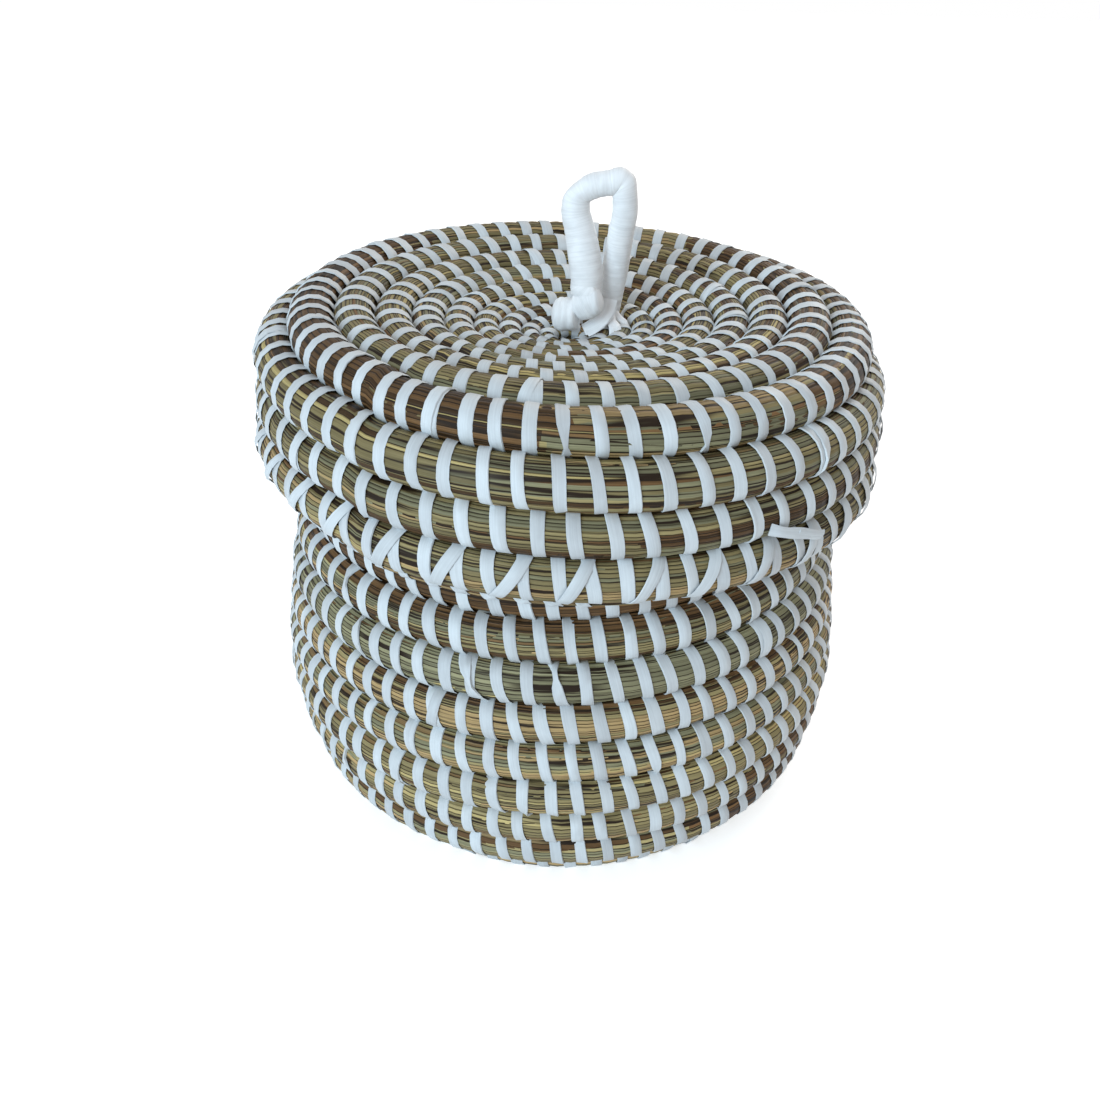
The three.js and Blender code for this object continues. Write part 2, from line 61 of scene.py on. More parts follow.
# The coils, as the frame's solids have them
PER_TURN = 96
SOLID_STEPS = 24
TURN_GAP = 0.6
RIDGE = 1.08
WALL_BUNDLE = 14.8
MOUTH_BUNDLE = 16.0
LID_BUNDLE = 14.9
WALL_HEIGHT = 178.4
PRESSED = 0.1
EDGE_HEIGHT = (RIDGE / 2 - PRESSED) * WALL_BUNDLE
BASE_EYE, LID_EYE = 5.2, 4.4
BASE_EYE_RADIUS, LID_EYE_RADIUS = 4.8, 4.6
BASE_RISE, LID_SINK = 2, 7
BASE_RADIUS, BELLY_RADIUS, MOUTH_RADIUS = 91.5, 106.4, 85
LID_EDGE_RADIUS, LID_FLARE, LID_DROP = 94, 15.385, 62.6

# How finely the bundles are drawn, and their outline's length as a share of thickness and angle
RING_STEP = 2.6
AROUND = 40
LINE_STEPS = 80
FLANK = 0.56

# Armfuls of one colour in the rows that face the front: hue, turn of the coil, half of the turns
# that it covers, degrees from the outward side towards the next turn, half of its width, and share
HUES = ("brown", "green", "tan")
BASKET_ARMFULS = [
    ("green", 8.17, 0.35, 10, 60, 0.8),
    ("green", 9.17, 0.35, 20, 50, 0.5),
    ("brown", 9.42, 0.16, 10, 55, 0.75),
    ("tan", 9.05, 0.2, -20, 30, 0.4),
    ("brown", 10.42, 0.14, 20, 45, 0.7),
    ("tan", 11.15, 0.3, -25, 28, 0.6),
    ("brown", 11.02, 0.1, -15, 14, 0.7),
    ("green", 12.17, 0.34, 35, 38, 0.45),
    ("tan", 12.1, 0.26, -30, 22, 0.7),
    ("brown", 13.17, 0.34, 60, 18, 0.95),
    ("tan", 13.17, 0.32, -5, 38, 0.72),
    ("green", 14.17, 0.34, 0, 75, 0.85),
    ("brown", 14.42, 0.1, -40, 18, 0.7),
    ("brown", 15.17, 0.34, 52, 26, 0.93),
    ("green", 15.17, 0.32, 8, 12, 0.8),
    ("brown", 15.17, 0.34, -36, 22, 0.88),
    ("brown", 16.17, 0.34, 0, 60, 0.8),
]
LID_ARMFULS = [
    ("brown", 6.36, 0.12, 10, 60, 0.7),
    ("brown", 7.3, 0.12, 35, 40, 0.7),
    ("brown", 8.36, 0.14, 0, 60, 0.75),
    ("brown", 8.9, 0.19, 10, 70, 0.84),
    ("tan", 9.25, 0.15, -25, 26, 0.75),
    ("green", 9.25, 0.15, 35, 26, 0.5),
    ("brown", 9.34, 0.12, 20, 60, 0.8),
    ("green", 10.05, 0.28, -15, 34, 0.6),
    ("brown", 10.05, 0.22, 27, 6, 0.9),
    ("tan", 10.1, 0.24, 62, 14, 0.5),
    ("brown", 10.97, 0.15, 45, 24, 0.8),
    ("brown", 11.27, 0.14, 0, 13, 0.88),
    ("green", 11.1, 0.3, -45, 24, 0.5),
    ("green", 12.1, 0.3, -42, 22, 0.4),
    ("tan", 12.1, 0.3, 34, 28, 0.75),
    ("brown", 12.72, 0.3, -20, 20, 0.85),
    ("tan", 12.8, 0.3, 25, 18, 0.8),
]

# The turns that face the front, which the photograph shows, and the seed of the unseen armfuls
SHOWN = {"basket": (7.6, 16.3), "lid": (8.6, 13.2)}
UNSEEN_SEED = {"basket": 11, "lid": 23}
UNSEEN_COUNT = 64
BACK_TURN = 0.17

# Shares of brown, green and tan stems outside those armfuls
BACKGROUND = {"basket": (0.17, 0.2, 0.34), "lid": (0.16, 0.28, 0.22)}

# How much paler than fresh grass the stems are, by turn of each coil
BLEACHED = {
    "basket": ([8, 9.5, 12], [1.7, 1.5, 1.38]),
    "lid": ([0, 13], [1.14, 1.14]),
}

# The loop handle: where it stands, its height and spread, and its middle line as shares of them
HANDLE_FOOT = np.array([9.1846, 3.0926, 183.614])
HANDLE_SPREAD = 17.0
HANDLE_HEIGHT = 51.4
LOOP = [
    (-0.21, -0.24, 0.239), (-0.22, -0.22, 0.37), (-0.3, -0.14, 0.53), (-0.4, -0.05, 0.67),
    (-0.5, 0, 0.8), (-0.45, 0, 0.91), (-0.2, 0, 0.96), (0.14, 0, 0.985), (0.42, 0, 0.985),
    (0.53, 0, 0.83), (0.48, 0.07, 0.64), (0.43, 0.18, 0.45), (0.35, 0.3, 0.22), (0.31, 0.36, 0),
]
# Its thickness by share of its length
LOOP_WIDTHS = [
    (0, 12.2), (0.12, 11.9), (0.22, 11), (0.32, 10.2), (0.42, 9.1), (0.5, 8.9), (0.62, 9.1),
    (0.72, 9.6), (0.82, 10), (0.92, 9.3), (1, 8.0),
]

# Loose strips, each with its width: those at the loop's right foot, and the end left on the rim
FOOT_STRIPS = [
    (3.2, [(14, 6.4, 190), (14.4, 4.6, 187), (15.6, 1.8, 184.6), (17.4, -2, 183.4),
           (18.4, -3.8, 181)]),
    (2.6, [(15.2, 6.8, 190), (17, 5.6, 186.4), (18.8, 4.6, 184.4), (20.4, 3.4, 183.5),
           (21.6, 2.6, 181)]),
    (3.0, [(14.6, 6.2, 189.5), (15.4, 3.6, 186), (15.8, 0.4, 184), (16, -2.4, 183.2),
           (16.2, -4.4, 181)]),
    (5.6, [(14.4, 3.2, 192.5), (13.6, 1.6, 188.6), (11.4, -0.6, 185.6), (8.2, -2.2, 183.7),
           (5.2, -2.8, 182.3)]),
    (4.4, [(15.2, 3.4, 190.5), (14, 1.4, 187.2), (11.4, -1.4, 184.4), (8.6, -3, 183),
           (6.2, -3.8, 181.8)]),
]
LOOSE_END = [
    (3.8, [(64.2, -98.4, 155.2), (67.6, -97.7, 154.1), (71.3, -95.5, 152.5), (75.2, -92.9, 151),
           (79.2, -89.8, 149)]),
    (2.3, [(74.6, -93.5, 151.9), (77.4, -91.4, 150.5), (80.2, -89.2, 149.1),
           (82.6, -87.1, 147.9), (84.4, -85.6, 147.2)]),
    (2.0, [(74.2, -93.3, 150.4), (77, -91.2, 149), (79.8, -89, 147.6), (82.2, -86.9, 146.4),
           (83.6, -85.7, 145.8)]),
]

# The stitches: turns that are sewn twice, how far the second pass and doubled stitches stand off
CROSS_TURNS = (11.3, 12.38)
CROSS_LIFT = 0.75
DOUBLE_LIFT = 0.45

# The photograph's camera, in degrees, and its place: millimetres in front, metres up
CAMERA_YAW, CAMERA_DOWN, CAMERA_ROLL = -0.77, 31.85, 1.56
CAMERA_AHEAD, CAMERA_HEIGHT = 393.47, 0.32825
LAMP_AIM = 0.11


# Curves


def cubic(a, b, leave, arrive, steps):
    """The cubic from a to b with the given slopes at its two ends, at even steps."""
    t = np.linspace(0, 1, steps, endpoint=False)[None, :, None]
    return (
        (2 * a - 2 * b + leave + arrive) * t**3
        + (3 * b - 3 * a - 2 * leave - arrive) * t**2
        + leave * t
        + a
    )


def smooth_line(points):
    """Points of the smooth curve through the given ones. Each span is the cubic whose slope at a
    given point is half the step from the point before it to the point after it."""
    p = np.asarray(points, float)
    a, b = p[:-1, None], p[1:, None]
    before = np.vstack([p[:1], p[:-2]])[:, None]
    after = np.vstack([p[2:], p[-1:]])[:, None]
    curve = cubic(a, b, (b - before) / 2, (after - a) / 2, LINE_STEPS)
    return np.vstack([curve.reshape(-1, p.shape[1]), p[-1:]])


def even_paced(points, steps=40):
    """Points of the curve through the given ones whose pace in each span is the square root of the
    span's length, which keeps short spans between long ones from swinging out."""
    p = np.asarray(points, float)
    p = np.vstack([2 * p[0] - p[1], p, 2 * p[-1] - p[-2]])
    a, b, c, d = p[:-3, None], p[1:-2, None], p[2:-1, None], p[3:, None]
    pace = np.linalg.norm(np.diff(p, axis=0), axis=1) ** 0.5
    f, g, h = pace[:-2, None, None], pace[1:-1, None, None], pace[2:, None, None]
    leave = ((b - a) / f - (c - a) / (f + g) + (c - b) / g) * g
    arrive = ((c - b) / g - (d - b) / (g + h) + (d - c) / h) * g
    curve = cubic(b, c, leave, arrive, steps)
    return np.vstack([curve.reshape(-1, p.shape[1]), p[-2:-1]])


def run_of(line):
    """How far along a line each of its points lies."""
    return np.r_[0, np.cumsum(np.linalg.norm(np.diff(line, axis=0), axis=1))]


def unit(v):
    return v / np.linalg.norm(v, axis=-1, keepdims=True)


def ease(t):
    """0 up to 0, 1 from 1, and smooth between."""
    t = np.clip(t, 0, 1)
    return t * t * (3 - 2 * t)


def between(rows, at):
    """Rows of an array at places between its whole numbers."""
    at = np.clip(at, 0, len(rows) - 1.001)
    i = at.astype(int)
    share = (at - i).reshape(at.shape + (1,) * (rows.ndim - 1))
    return rows[i] * (1 - share) + rows[i + 1] * share


def window(x, middle, half, soft):
    """1 within half of the middle, 0 beyond it, with soft edges."""
    return ease((half - np.abs(x - middle)) / soft + 0.5)


def ripple(seed, s, turned, reach=(60, 260), lobes=(3, 12), waves=9):
    """Gentle unevenness from -1 to 1 over a wound surface: a sum of waves, each with a whole number
    of lobes round the section and its own slow drift along the run, from a seeded draw."""
    draw = np.random.default_rng(seed)
    total = np.zeros(np.broadcast(s, turned).shape)
    for _ in range(waves):
        lobe = draw.integers(*lobes)
        drift = TURN / draw.uniform(*reach) * draw.choice([-1, 1])
        total += np.sin(lobe * turned + drift * s + draw.uniform(0, TURN)) / waves**0.5
    return total / 1.6


# Coils


def wind(body, line, stations, parts, start, taper, tip, power):
    """A bundle wound turn on turn along a line of radius and height. The first turn moves out
    evenly. Each later place lies where its distance back to the turn before is half of both
    thicknesses and a gap. The section's area changes evenly between stations of place and
    thickness, and the last stretch thins to a tip. Parts names the coil's stretches and the place
    where each begins. Its face is 1 or -1, for the side that shows."""
    height, face = {"basket": (0, 1), "lid": (LID_SEAT, -1)}[body]
    run = run_of(line)
    marks, thickness = np.array(stations, float).T

    def point(place):
        return np.stack([np.interp(place, run, column) for column in line.T], -1)

    def thick(place):
        return np.sqrt(np.interp(place, marks, thickness**2))

    def lay(thinning):
        places = [np.arange(PER_TURN) / PER_TURN * (thick(0.0) + TURN_GAP)]
        bundles = [thick(places[0]) * thinning[0]]
        for thin in thinning[1:]:
            place = places[-1] + bundles[-1] + TURN_GAP
            for _ in range(9):
                wanted = (bundles[-1] + thick(place) * thin) / 2 + TURN_GAP
                place = place + wanted - np.linalg.norm(point(place) - point(places[-1]), axis=-1)
            places.append(place)
            bundles.append(thick(place) * thin)
        return np.concatenate(places), np.concatenate(bundles)

    turns = 40
    full, _ = lay(np.ones((turns, PER_TURN)))
    solid = PER_TURN // SOLID_STEPS
    last = solid * int(np.argmax(full[::solid] >= run[-1]))
    thin_from = last - taper / TURN * PER_TURN
    ring = np.arange(turns * PER_TURN)
    thinned = np.clip((ring - thin_from) / (last - thin_from), 0, 1)
    thinning = tip + (1 - tip) * (1 - thinned) ** power
    place, bundle = lay(thinning.reshape(turns, PER_TURN)[: last // PER_TURN + 1])
    place, bundle = place[: last + 1], bundle[: last + 1]
    centre = point(place)
    toward = unit(centre[PER_TURN:] - centre[:-PER_TURN])
    angle = start + np.arange(last + 1) / PER_TURN * TURN
    track = np.c_[centre[:, 0] * np.cos(angle), centre[:, 0] * np.sin(angle), centre[:, 1]]
    cuts = [solid * int(np.argmax(place[::solid] >= begin)) for begin in parts.values()] + [last]
    return SimpleNamespace(
        body=body, origin=np.array([*AXIS, height]), face=face, place=place, bundle=bundle,
        centre=centre, onward=np.vstack([toward, toward[-PER_TURN:]]),
        back=np.vstack([toward[:PER_TURN], toward]), angle=angle, run=run_of(track), last=last,
        press=np.ones(last + 1), parts=parts, stretches=dict(zip(parts, zip(cuts, cuts[1:]))),
    )


def rings_at(coil, run):
    """Ring places that lie so far along a coil."""
    return np.interp(run, coil.run, np.arange(coil.last + 1))


def on_bundle(coil, at, along, across):
    """Points about a coil's bundle at ring places: its middle, plus so many half thicknesses along
    the line to the neighbouring turn and across it, turned about the basket's axis, where the
    coil rests."""
    toward = unit(
        between(coil.back, at)
        + (between(coil.onward, at) - between(coil.back, at)) * ease((along + 1) / 2)[..., None]
    )
    out = np.stack([toward[..., 1], -toward[..., 0]], -1) * coil.face
    half = between(coil.bundle, at)[..., None] / 2
    across = across * between(coil.press, at)
    flat = between(coil.centre, at) + half * (along[..., None] * toward + across[..., None] * out)
    angle, out = between(coil.angle, at), flat[..., 0]
    return np.stack([out * np.cos(angle), out * np.sin(angle), flat[..., 1]], -1) + coil.origin


def section(turned, fullness=2.3):
    """A bundle's outline pressed between its neighbours: the distance out at an angle is
    (|cos|^n + |sin|^n)^(-1/n). It returns the shares along and across."""
    c, s = np.cos(turned), np.sin(turned)
    out = (np.abs(c) ** fullness + np.abs(s) ** fullness) ** (-1 / fullness)
    return out * s, RIDGE * out * c


def basket_line():
    """Radius and height of the basket's bundle middles: the base, then the wall's smooth curve."""
    lower = [(0, 0), (0.64, 0.07), (0.88, 0.157), (1, 0.267)]
    upper = [(0.87, 0.4), (0.71, 0.524), (0.49, 0.619), (0.31, 0.695), (0.12, 0.8), (0, 1)]
    wall = [(BASE_RADIUS + out * (BELLY_RADIUS - BASE_RADIUS), up) for out, up in lower]
    wall += [(MOUTH_RADIUS + out * (BELLY_RADIUS - MOUTH_RADIUS), up) for out, up in upper]
    wall = smooth_line([(r, EDGE_HEIGHT + up * WALL_HEIGHT) for r, up in wall])
    return np.vstack([[(BASE_EYE_RADIUS, BASE_RISE + RIDGE * BASE_EYE / 2)], wall])


def basket_coil():
    line = basket_line()
    run = run_of(line)
    parts = {"base": 0, "wall": run[1], "mouth": run[-1] - 4 * MOUTH_BUNDLE}
    stations = [
        (0, BASE_EYE), (parts["wall"], WALL_BUNDLE), (parts["mouth"], WALL_BUNDLE),
        (run[-1] - 2 * MOUTH_BUNDLE, MOUTH_BUNDLE),
    ]
    return wind("basket", line, stations, parts, 208 * DEGREE, 340 * DEGREE, 0.06, 1)


def lid_line():
    """Radius and height of the lid's bundle middles: the dished disc, then the rim's curve."""
    shares = [(0, 0), (0.81, 0.145), (0.91, 0.4), (1, 0.65), (1, 1)]
    top = RIDGE * LID_BUNDLE / 2
    rim = [(LID_EDGE_RADIUS + out * LID_FLARE, top - down * LID_DROP) for out, down in shares]
    eye = (LID_EYE_RADIUS, RIDGE * LID_EYE / 2 - LID_SINK)
    return np.vstack([[eye], smooth_line(rim)])


def lid_coil():
    line = lid_line()
    edge = run_of(line)[1]
    stations = [(0, LID_EYE), (edge, LID_BUNDLE)]
    parts = {"top": 0, "rim": edge}
    coil = wind("lid", line, stations, parts, 237 * DEGREE, 290 * DEGREE, 0.16, 1.5)
    coil.press = 1 - 0.1 * window(coil.place, edge + 2, 13, 9)
    return coil


# Meshes


def new_piece(name, body, finish, points, faces, corner_uv, sharp=None, **attributes):
    """Makes a mesh object from points in millimetres, faces, a place on the surface for each face
    corner, in millimetres, and one value a point for each named attribute. It rides on its body."""
    mesh = bpy.data.meshes.new(name)
    floored = points * MM
    floored[:, 2] = np.maximum(floored[:, 2], 0)
    mesh.from_pydata(floored.tolist(), [], faces)
    run = mesh.uv_layers.new(name="run")
    run.data.foreach_set("uv", (corner_uv * MM).ravel())
    for key, values in attributes.items():
        layer = mesh.attributes.new(key, "FLOAT", "POINT")
        layer.data.foreach_set("value", np.asarray(values, np.float32).ravel())
    mesh.materials.append(material(finish))
    mesh.shade_smooth()
    if sharp:
        mesh.set_sharp_from_angle(angle=sharp * DEGREE)
    piece = bpy.data.objects.new(name, mesh)
    bpy.context.scene.collection.objects.link(piece)
    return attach(piece, body)


def grid(bands, n, m, closed=False):
    """Faces of bands with n steps of m points round each, and the step and point that each starts
    from. A face joins two neighbouring points of a step to the same two of the next. The last step
    of a closed band joins its first."""
    steps = np.arange(n if closed else n - 1)
    b, i, k = np.meshgrid(np.arange(bands), steps, np.arange(m), indexing="ij")
    here, ahead, beside = (b * n + i) * m, (b * n + (i + 1) % n) * m, (k + 1) % m
    return np.stack([here + k, here + beside, ahead + beside, ahead + k], -1), i, k


def tube(rings, u, v):
    """Faces and corner places of a tube through rings of points, with a fan over each end."""
    n, m = rings.shape[:2]
    quads, i, k = grid(1, n, m)
    rows, columns = np.stack([i, i, i + 1, i + 1], -1), np.stack([k, k + 1, k + 1, k], -1)
    places = np.stack([u[rows], v[rows, columns]], -1)
    k = np.arange(m)
    beside = (k + 1) % m
    first = np.stack([beside, k, np.full(m, n * m)], -1)
    last = np.stack([(n - 1) * m + k, (n - 1) * m + beside, np.full(m, n * m + 1)], -1)
    ends = np.zeros((2, m, 3, 2))
    ends[0, :, :, 0], ends[1, :, :, 0] = u[0], u[-1]
    ends[..., 1] = (k / m * 10)[None, :, None]
    points = np.vstack([rings.reshape(-1, 3), rings[[0, -1]].mean(1)])
    faces = quads.reshape(-1, 4).tolist() + first.tolist() + last.tolist()
    return points, faces, np.vstack([places.reshape(-1, 2), ends.reshape(-1, 2)])


def closed_bands(corners, across, along):
    """Faces of many closed bands at once. Corners holds, for each band, each step round it and each
    corner of its strip's section, a point. Across and along are the places of those points."""
    quads, _, _ = grid(*corners.shape[:3], closed=True)
    side = across[quads % corners.shape[2]]
    far = along[:, :, None, None] + np.zeros(quads.shape)
    onward = np.roll(along, -1, 1)
    onward[:, -1] = along[:, -1] + (along[:, 1] - along[:, 0])
    far[..., 2:] = onward[:, :, None, None]
    places = np.stack([side, far], -1).reshape(-1, 2)
    return corners.reshape(-1, 3), quads.reshape(-1, 4).tolist(), places


# Materials


class Surface:
    """The nodes of one procedural material, or of the world, added and joined by short calls."""

    def __init__(self, name, owners="materials"):
        self.owner = getattr(bpy.data, owners).new(name)
        self.owner.use_nodes = True
        self.tree = self.owner.node_tree
        self.shader = self.tree.nodes.get("Principled BSDF")

    def node(self, kind, inputs=(), **settings):
        made = self.tree.nodes.new(kind)
        for key, value in settings.items():
            setattr(made, key, value)
        for key, value in dict(inputs).items():
            self.give(made.inputs[key], value)
        return made

    def give(self, socket, value):
        if isinstance(value, bpy.types.NodeSocket):
            self.tree.links.new(value, socket)
        else:
            socket.default_value = value

    def math(self, operation, a, b=0.0, c=0.0):
        return self.node("ShaderNodeMath", {0: a, 1: b, 2: c}, operation=operation).outputs[0]

    def stretched(self, u, v, per_u, per_v, w=0.0):
        """A place whose unit is one part in per_u metres of u and in per_v metres of v."""
        u, v = self.math("MULTIPLY", u, per_u), self.math("MULTIPLY", v, per_v)
        return self.node("ShaderNodeCombineXYZ", {0: u, 1: v, 2: w}).outputs[0]

    def run(self):
        """The place on the surface in metres: along or across the run, and round or along it."""
        place = self.node("ShaderNodeUVMap", uv_map="run").outputs[0]
        parts = self.node("ShaderNodeSeparateXYZ", {0: place})
        return parts.outputs[0], parts.outputs[1]

    def value(self, name):
        return self.node("ShaderNodeAttribute", attribute_name=name).outputs["Fac"]

    def noise(self, vector, scale=1.0, detail=2.0, roughness=0.5):
        inputs = {"Vector": vector, "Scale": scale, "Detail": detail, "Roughness": roughness}
        return self.node("ShaderNodeTexNoise", inputs).outputs[0]

    def streaks(self, *place, detail=2.0):
        return self.noise(self.stretched(*place), detail=detail)

    def spread(self, value, low, high, to_low=0.0, to_high=1.0):
        inputs = {0: value, 1: low, 2: high, 3: to_low, 4: to_high}
        return self.node("ShaderNodeMapRange", inputs, interpolation_type="SMOOTHSTEP").outputs[0]

    def mix(self, share, a, b, blend="MIX"):
        made = self.node("ShaderNodeMix", data_type="RGBA", blend_type=blend)
        colours = [socket for socket in made.inputs if socket.type == "RGBA"]
        self.give(made.inputs[0], share)
        self.give(colours[0], a)
        self.give(colours[1], b)
        return next(socket for socket in made.outputs if socket.type == "RGBA")

    def ramp(self, value, stops):
        made = self.node("ShaderNodeValToRGB", {0: value})
        elements = made.color_ramp.elements
        while len(elements) < len(stops):
            elements.new(0.5)
        for element, (position, colour) in zip(elements, stops):
            element.position = position
            element.color = colour
        return made.outputs[0]

    def shaded(self, colour, shade):
        """A colour times a number."""
        grey = self.node("ShaderNodeCombineColor", {0: shade, 1: shade, 2: shade}).outputs[0]
        return self.mix(1.0, colour, grey, "MULTIPLY")

    def raised(self, height, distance, strength=1.0):
        inputs = {"Height": height, "Distance": distance, "Strength": strength}
        self.give(self.shader.inputs["Normal"], self.node("ShaderNodeBump", inputs).outputs[0])

    def finish(self, colour, roughness):
        self.give(self.shader.inputs["Base Color"], colour)
        self.give(self.shader.inputs["Roughness"], roughness)
        return self.owner

    def shown_to_camera(self, plain, shown, output):
        """Puts out one shader for what the camera sees straight, in gloss or through glass, and
        the plain one for all other light."""
        rays = self.node("ShaderNodeLightPath").outputs
        seen = self.math("MAXIMUM", rays["Is Camera Ray"], rays["Is Glossy Ray"])
        seen = self.math("MAXIMUM", seen, rays["Is Transmission Ray"])
        mixed = self.node("ShaderNodeMixShader", {0: seen, 1: plain, 2: shown}).outputs[0]
        self.give(self.tree.nodes[output].inputs[0], mixed)


def opaque(colour, factor=1.0):
    return (*(c * factor for c in colour), 1.0)


def grass_material():
    """Long stems laid side by side: stretched cells along the bundle, each with its own tint, thin
    dark slits of painted shade between them and fine fibres along them. Broad cells choose which
    stems are brown, green or tan, by the shares that the mesh carries, and its bleached value makes
    them paler."""
    looks = bpy.context.scene.grass_looks
    s = Surface("dry grass stems")
    along, around = s.run()
    wander = s.streaks(along, around, 7.0, 60.0)
    around = s.math("MULTIPLY_ADD", wander, 0.0024, around)
    fibre = s.streaks(along, around, 12.0, 3200.0, detail=3.0)
    blotch = s.streaks(along, around, 55.0, 240.0, detail=3.0)
    opened = s.streaks(along, around, 24.0, 700.0, detail=1.0)

    def stems(length, width, feature="F1"):
        place = s.stretched(along, around, 1 / length, 1 / width)
        inputs = {"Vector": place, "Scale": 1.0, "Randomness": 1.0}
        made = s.node("ShaderNodeTexVoronoi", inputs, voronoi_dimensions="2D", feature=feature)
        return made.outputs

    def draws(length, width):
        """Three random numbers for each stem of that size."""
        return s.node("ShaderNodeSeparateColor", {0: stems(length, width)["Color"]}).outputs

    thin = draws(looks.stem_length, looks.stem_width)
    broad = draws(0.26, 0.0032)
    gap = stems(looks.stem_length, looks.stem_width, "DISTANCE_TO_EDGE")["Distance"]

    def chosen(broad_draw, thin_draw, share):
        draw = s.math("MULTIPLY_ADD", broad_draw, 0.62, s.math("MULTIPLY", thin_draw, 0.38))
        return s.math("LESS_THAN", draw, share)

    def tints(*stops):
        return s.ramp(thin[0], [(place, opaque(base, factor)) for place, base, factor in stops])

    khaki = tints(
        (0.0, looks.brown, 2.1), (0.14, looks.khaki, 0.72), (0.4, looks.khaki, 0.95),
        (0.7, looks.khaki, 1.15), (0.9, looks.khaki, 1.5), (1.0, looks.straw, 0.85),
    )
    green = tints((0.0, looks.green, 0.66), (1.0, looks.green, 1.2))
    tan = tints((0.0, looks.tan, 0.62), (0.5, looks.tan, 1.0), (1.0, looks.tan, 1.12))
    brown = tints((0.0, looks.brown, 0.55), (0.7, looks.brown, 1.1), (1.0, looks.brown, 2.0))
    colour = s.mix(chosen(broad[0], thin[1], s.value("green")), khaki, green)
    colour = s.mix(chosen(broad[1], thin[2], s.value("tan")), colour, tan)
    colour = s.mix(chosen(broad[2], thin[1], s.value("brown")), colour, brown)
    fibrous = s.spread(fibre, 0.28, 0.72, 0.76, 1.12)
    shade = s.math("MULTIPLY", fibrous, s.spread(blotch, 0.3, 0.72, 0.88, 1.06))
    shade = s.math("MULTIPLY", shade, s.value("bleached"))
    colour = s.shaded(colour, shade)
    # Painted shade in the gaps between stems: a dark colour laid along the cells' edges, deeper in
    # some places
    painted_gap_shade, deep = s.spread(gap, 0.05, 0.14, 1.0, 0.0), s.spread(opened, 0.3, 0.5, 0.25, 1.0)
    colour = s.mix(s.math("MULTIPLY", painted_gap_shade, deep), colour, opaque(looks.painted_gap_shade))
    height = s.math("MULTIPLY_ADD", fibre, 0.1, s.spread(gap, 0.0, 0.3))
    s.raised(height, 0.0003, 0.8)
    s.shader.inputs["Specular IOR Level"].default_value = 0.14
    return s.finish(colour, s.spread(blotch, 0.2, 0.8, 0.42, 0.6))


def strip_material(name="white strip", clean=None, dull=None, crease=1.0):
    """Flat plastic strip: nearly white, with fine lines along it, soft creases across it, and a
    slightly duller tint on some stitches."""
    looks = bpy.context.scene.strip_looks
    s = Surface(name)
    across, along = s.run()
    each = s.value("each")
    lines = s.streaks(across, along, 2400.0, 40.0, each, detail=3.0)
    folds = s.streaks(across, along, 260.0, 160.0, each)
    lined, folded = s.spread(lines, 0.3, 0.7, 0.93, 1.02), s.spread(folds, 0.25, 0.75, 0.93, 1.02)
    tint = s.mix(s.math("FRACT", each), opaque(clean or looks.white), opaque(dull or looks.grey))
    colour = s.shaded(tint, s.math("MULTIPLY", lined, folded))
    height = s.math("MULTIPLY_ADD", lines, 0.25, folds)
    s.raised(height, 0.00025, 0.5 * crease)
    s.shader.inputs["Specular IOR Level"].default_value = 0.35
    return s.finish(colour, s.spread(folds, 0.2, 0.8, 0.42, 0.58))


def wrap_material():
    looks = bpy.context.scene.strip_looks
    return strip_material("white wrap", looks.wrap, looks.wrap_shade, 1.3)


def core_material():
    """Dull dry stems inside the loop, with fine dark fibres along them."""
    s = Surface("dull core stems")
    place = s.node("ShaderNodeTexCoord").outputs["Object"]
    fibre = s.noise(place, 900.0, 4.0, 0.6)
    patch = s.noise(place, 120.0, 2.0)
    dark, middle, pale = (0.05, 0.032, 0.018, 1), (0.19, 0.14, 0.065, 1), (0.33, 0.26, 0.13, 1)
    colour = s.ramp(fibre, [(0.3, dark), (0.5, middle), (0.75, pale)])
    s.raised(s.math("MULTIPLY_ADD", fibre, 0.6, patch), 0.0003, 0.7)
    return s.finish(colour, s.spread(patch, 0.3, 0.7, 0.7, 0.9))


# A short kind and the maker of each finish
FINISHES = {
    "dry grass stems": ("grass", grass_material),
    "white strip": ("strip", strip_material),
    "white wrap": ("strip", wrap_material),
    "dull core stems": ("core", core_material),
}


def material(finish):
    return bpy.data.materials.get(finish) or FINISHES[finish][1]()


# Grass bundles


def stitch_places(coil):
    """Ring places of a coil's stitches. Spacing grows with the bundle, and on a wall it is even, a
    little more than a whole share of a turn, so that stitches stand in slanting columns."""
    stitching = bpy.context.scene.stitching
    if coil.body == "basket":
        edge = coil.parts["wall"]
        marks = [0, 10, 25, 60, edge, edge + 20]
        wanted = [6.4, 7.8, 8.6, 9, 9.2, stitching.wall_spacing / MM]
    else:
        marks = [0, 8, 20, 45, 70, 84, 93, 104, 130, 144]
        wanted = [6.4, 7.8, 8.8, 9.4, 10.6, 10.8, 9.4, 10.4, 10.9, 9.8]
    spacing = np.interp(coil.place, marks, wanted)
    count = np.r_[0, np.cumsum(np.diff(coil.run) / ((spacing[1:] + spacing[:-1]) / 2))]
    whole = np.arange(1, int(count[-1]))
    return np.interp(whole, count, np.arange(len(count)))


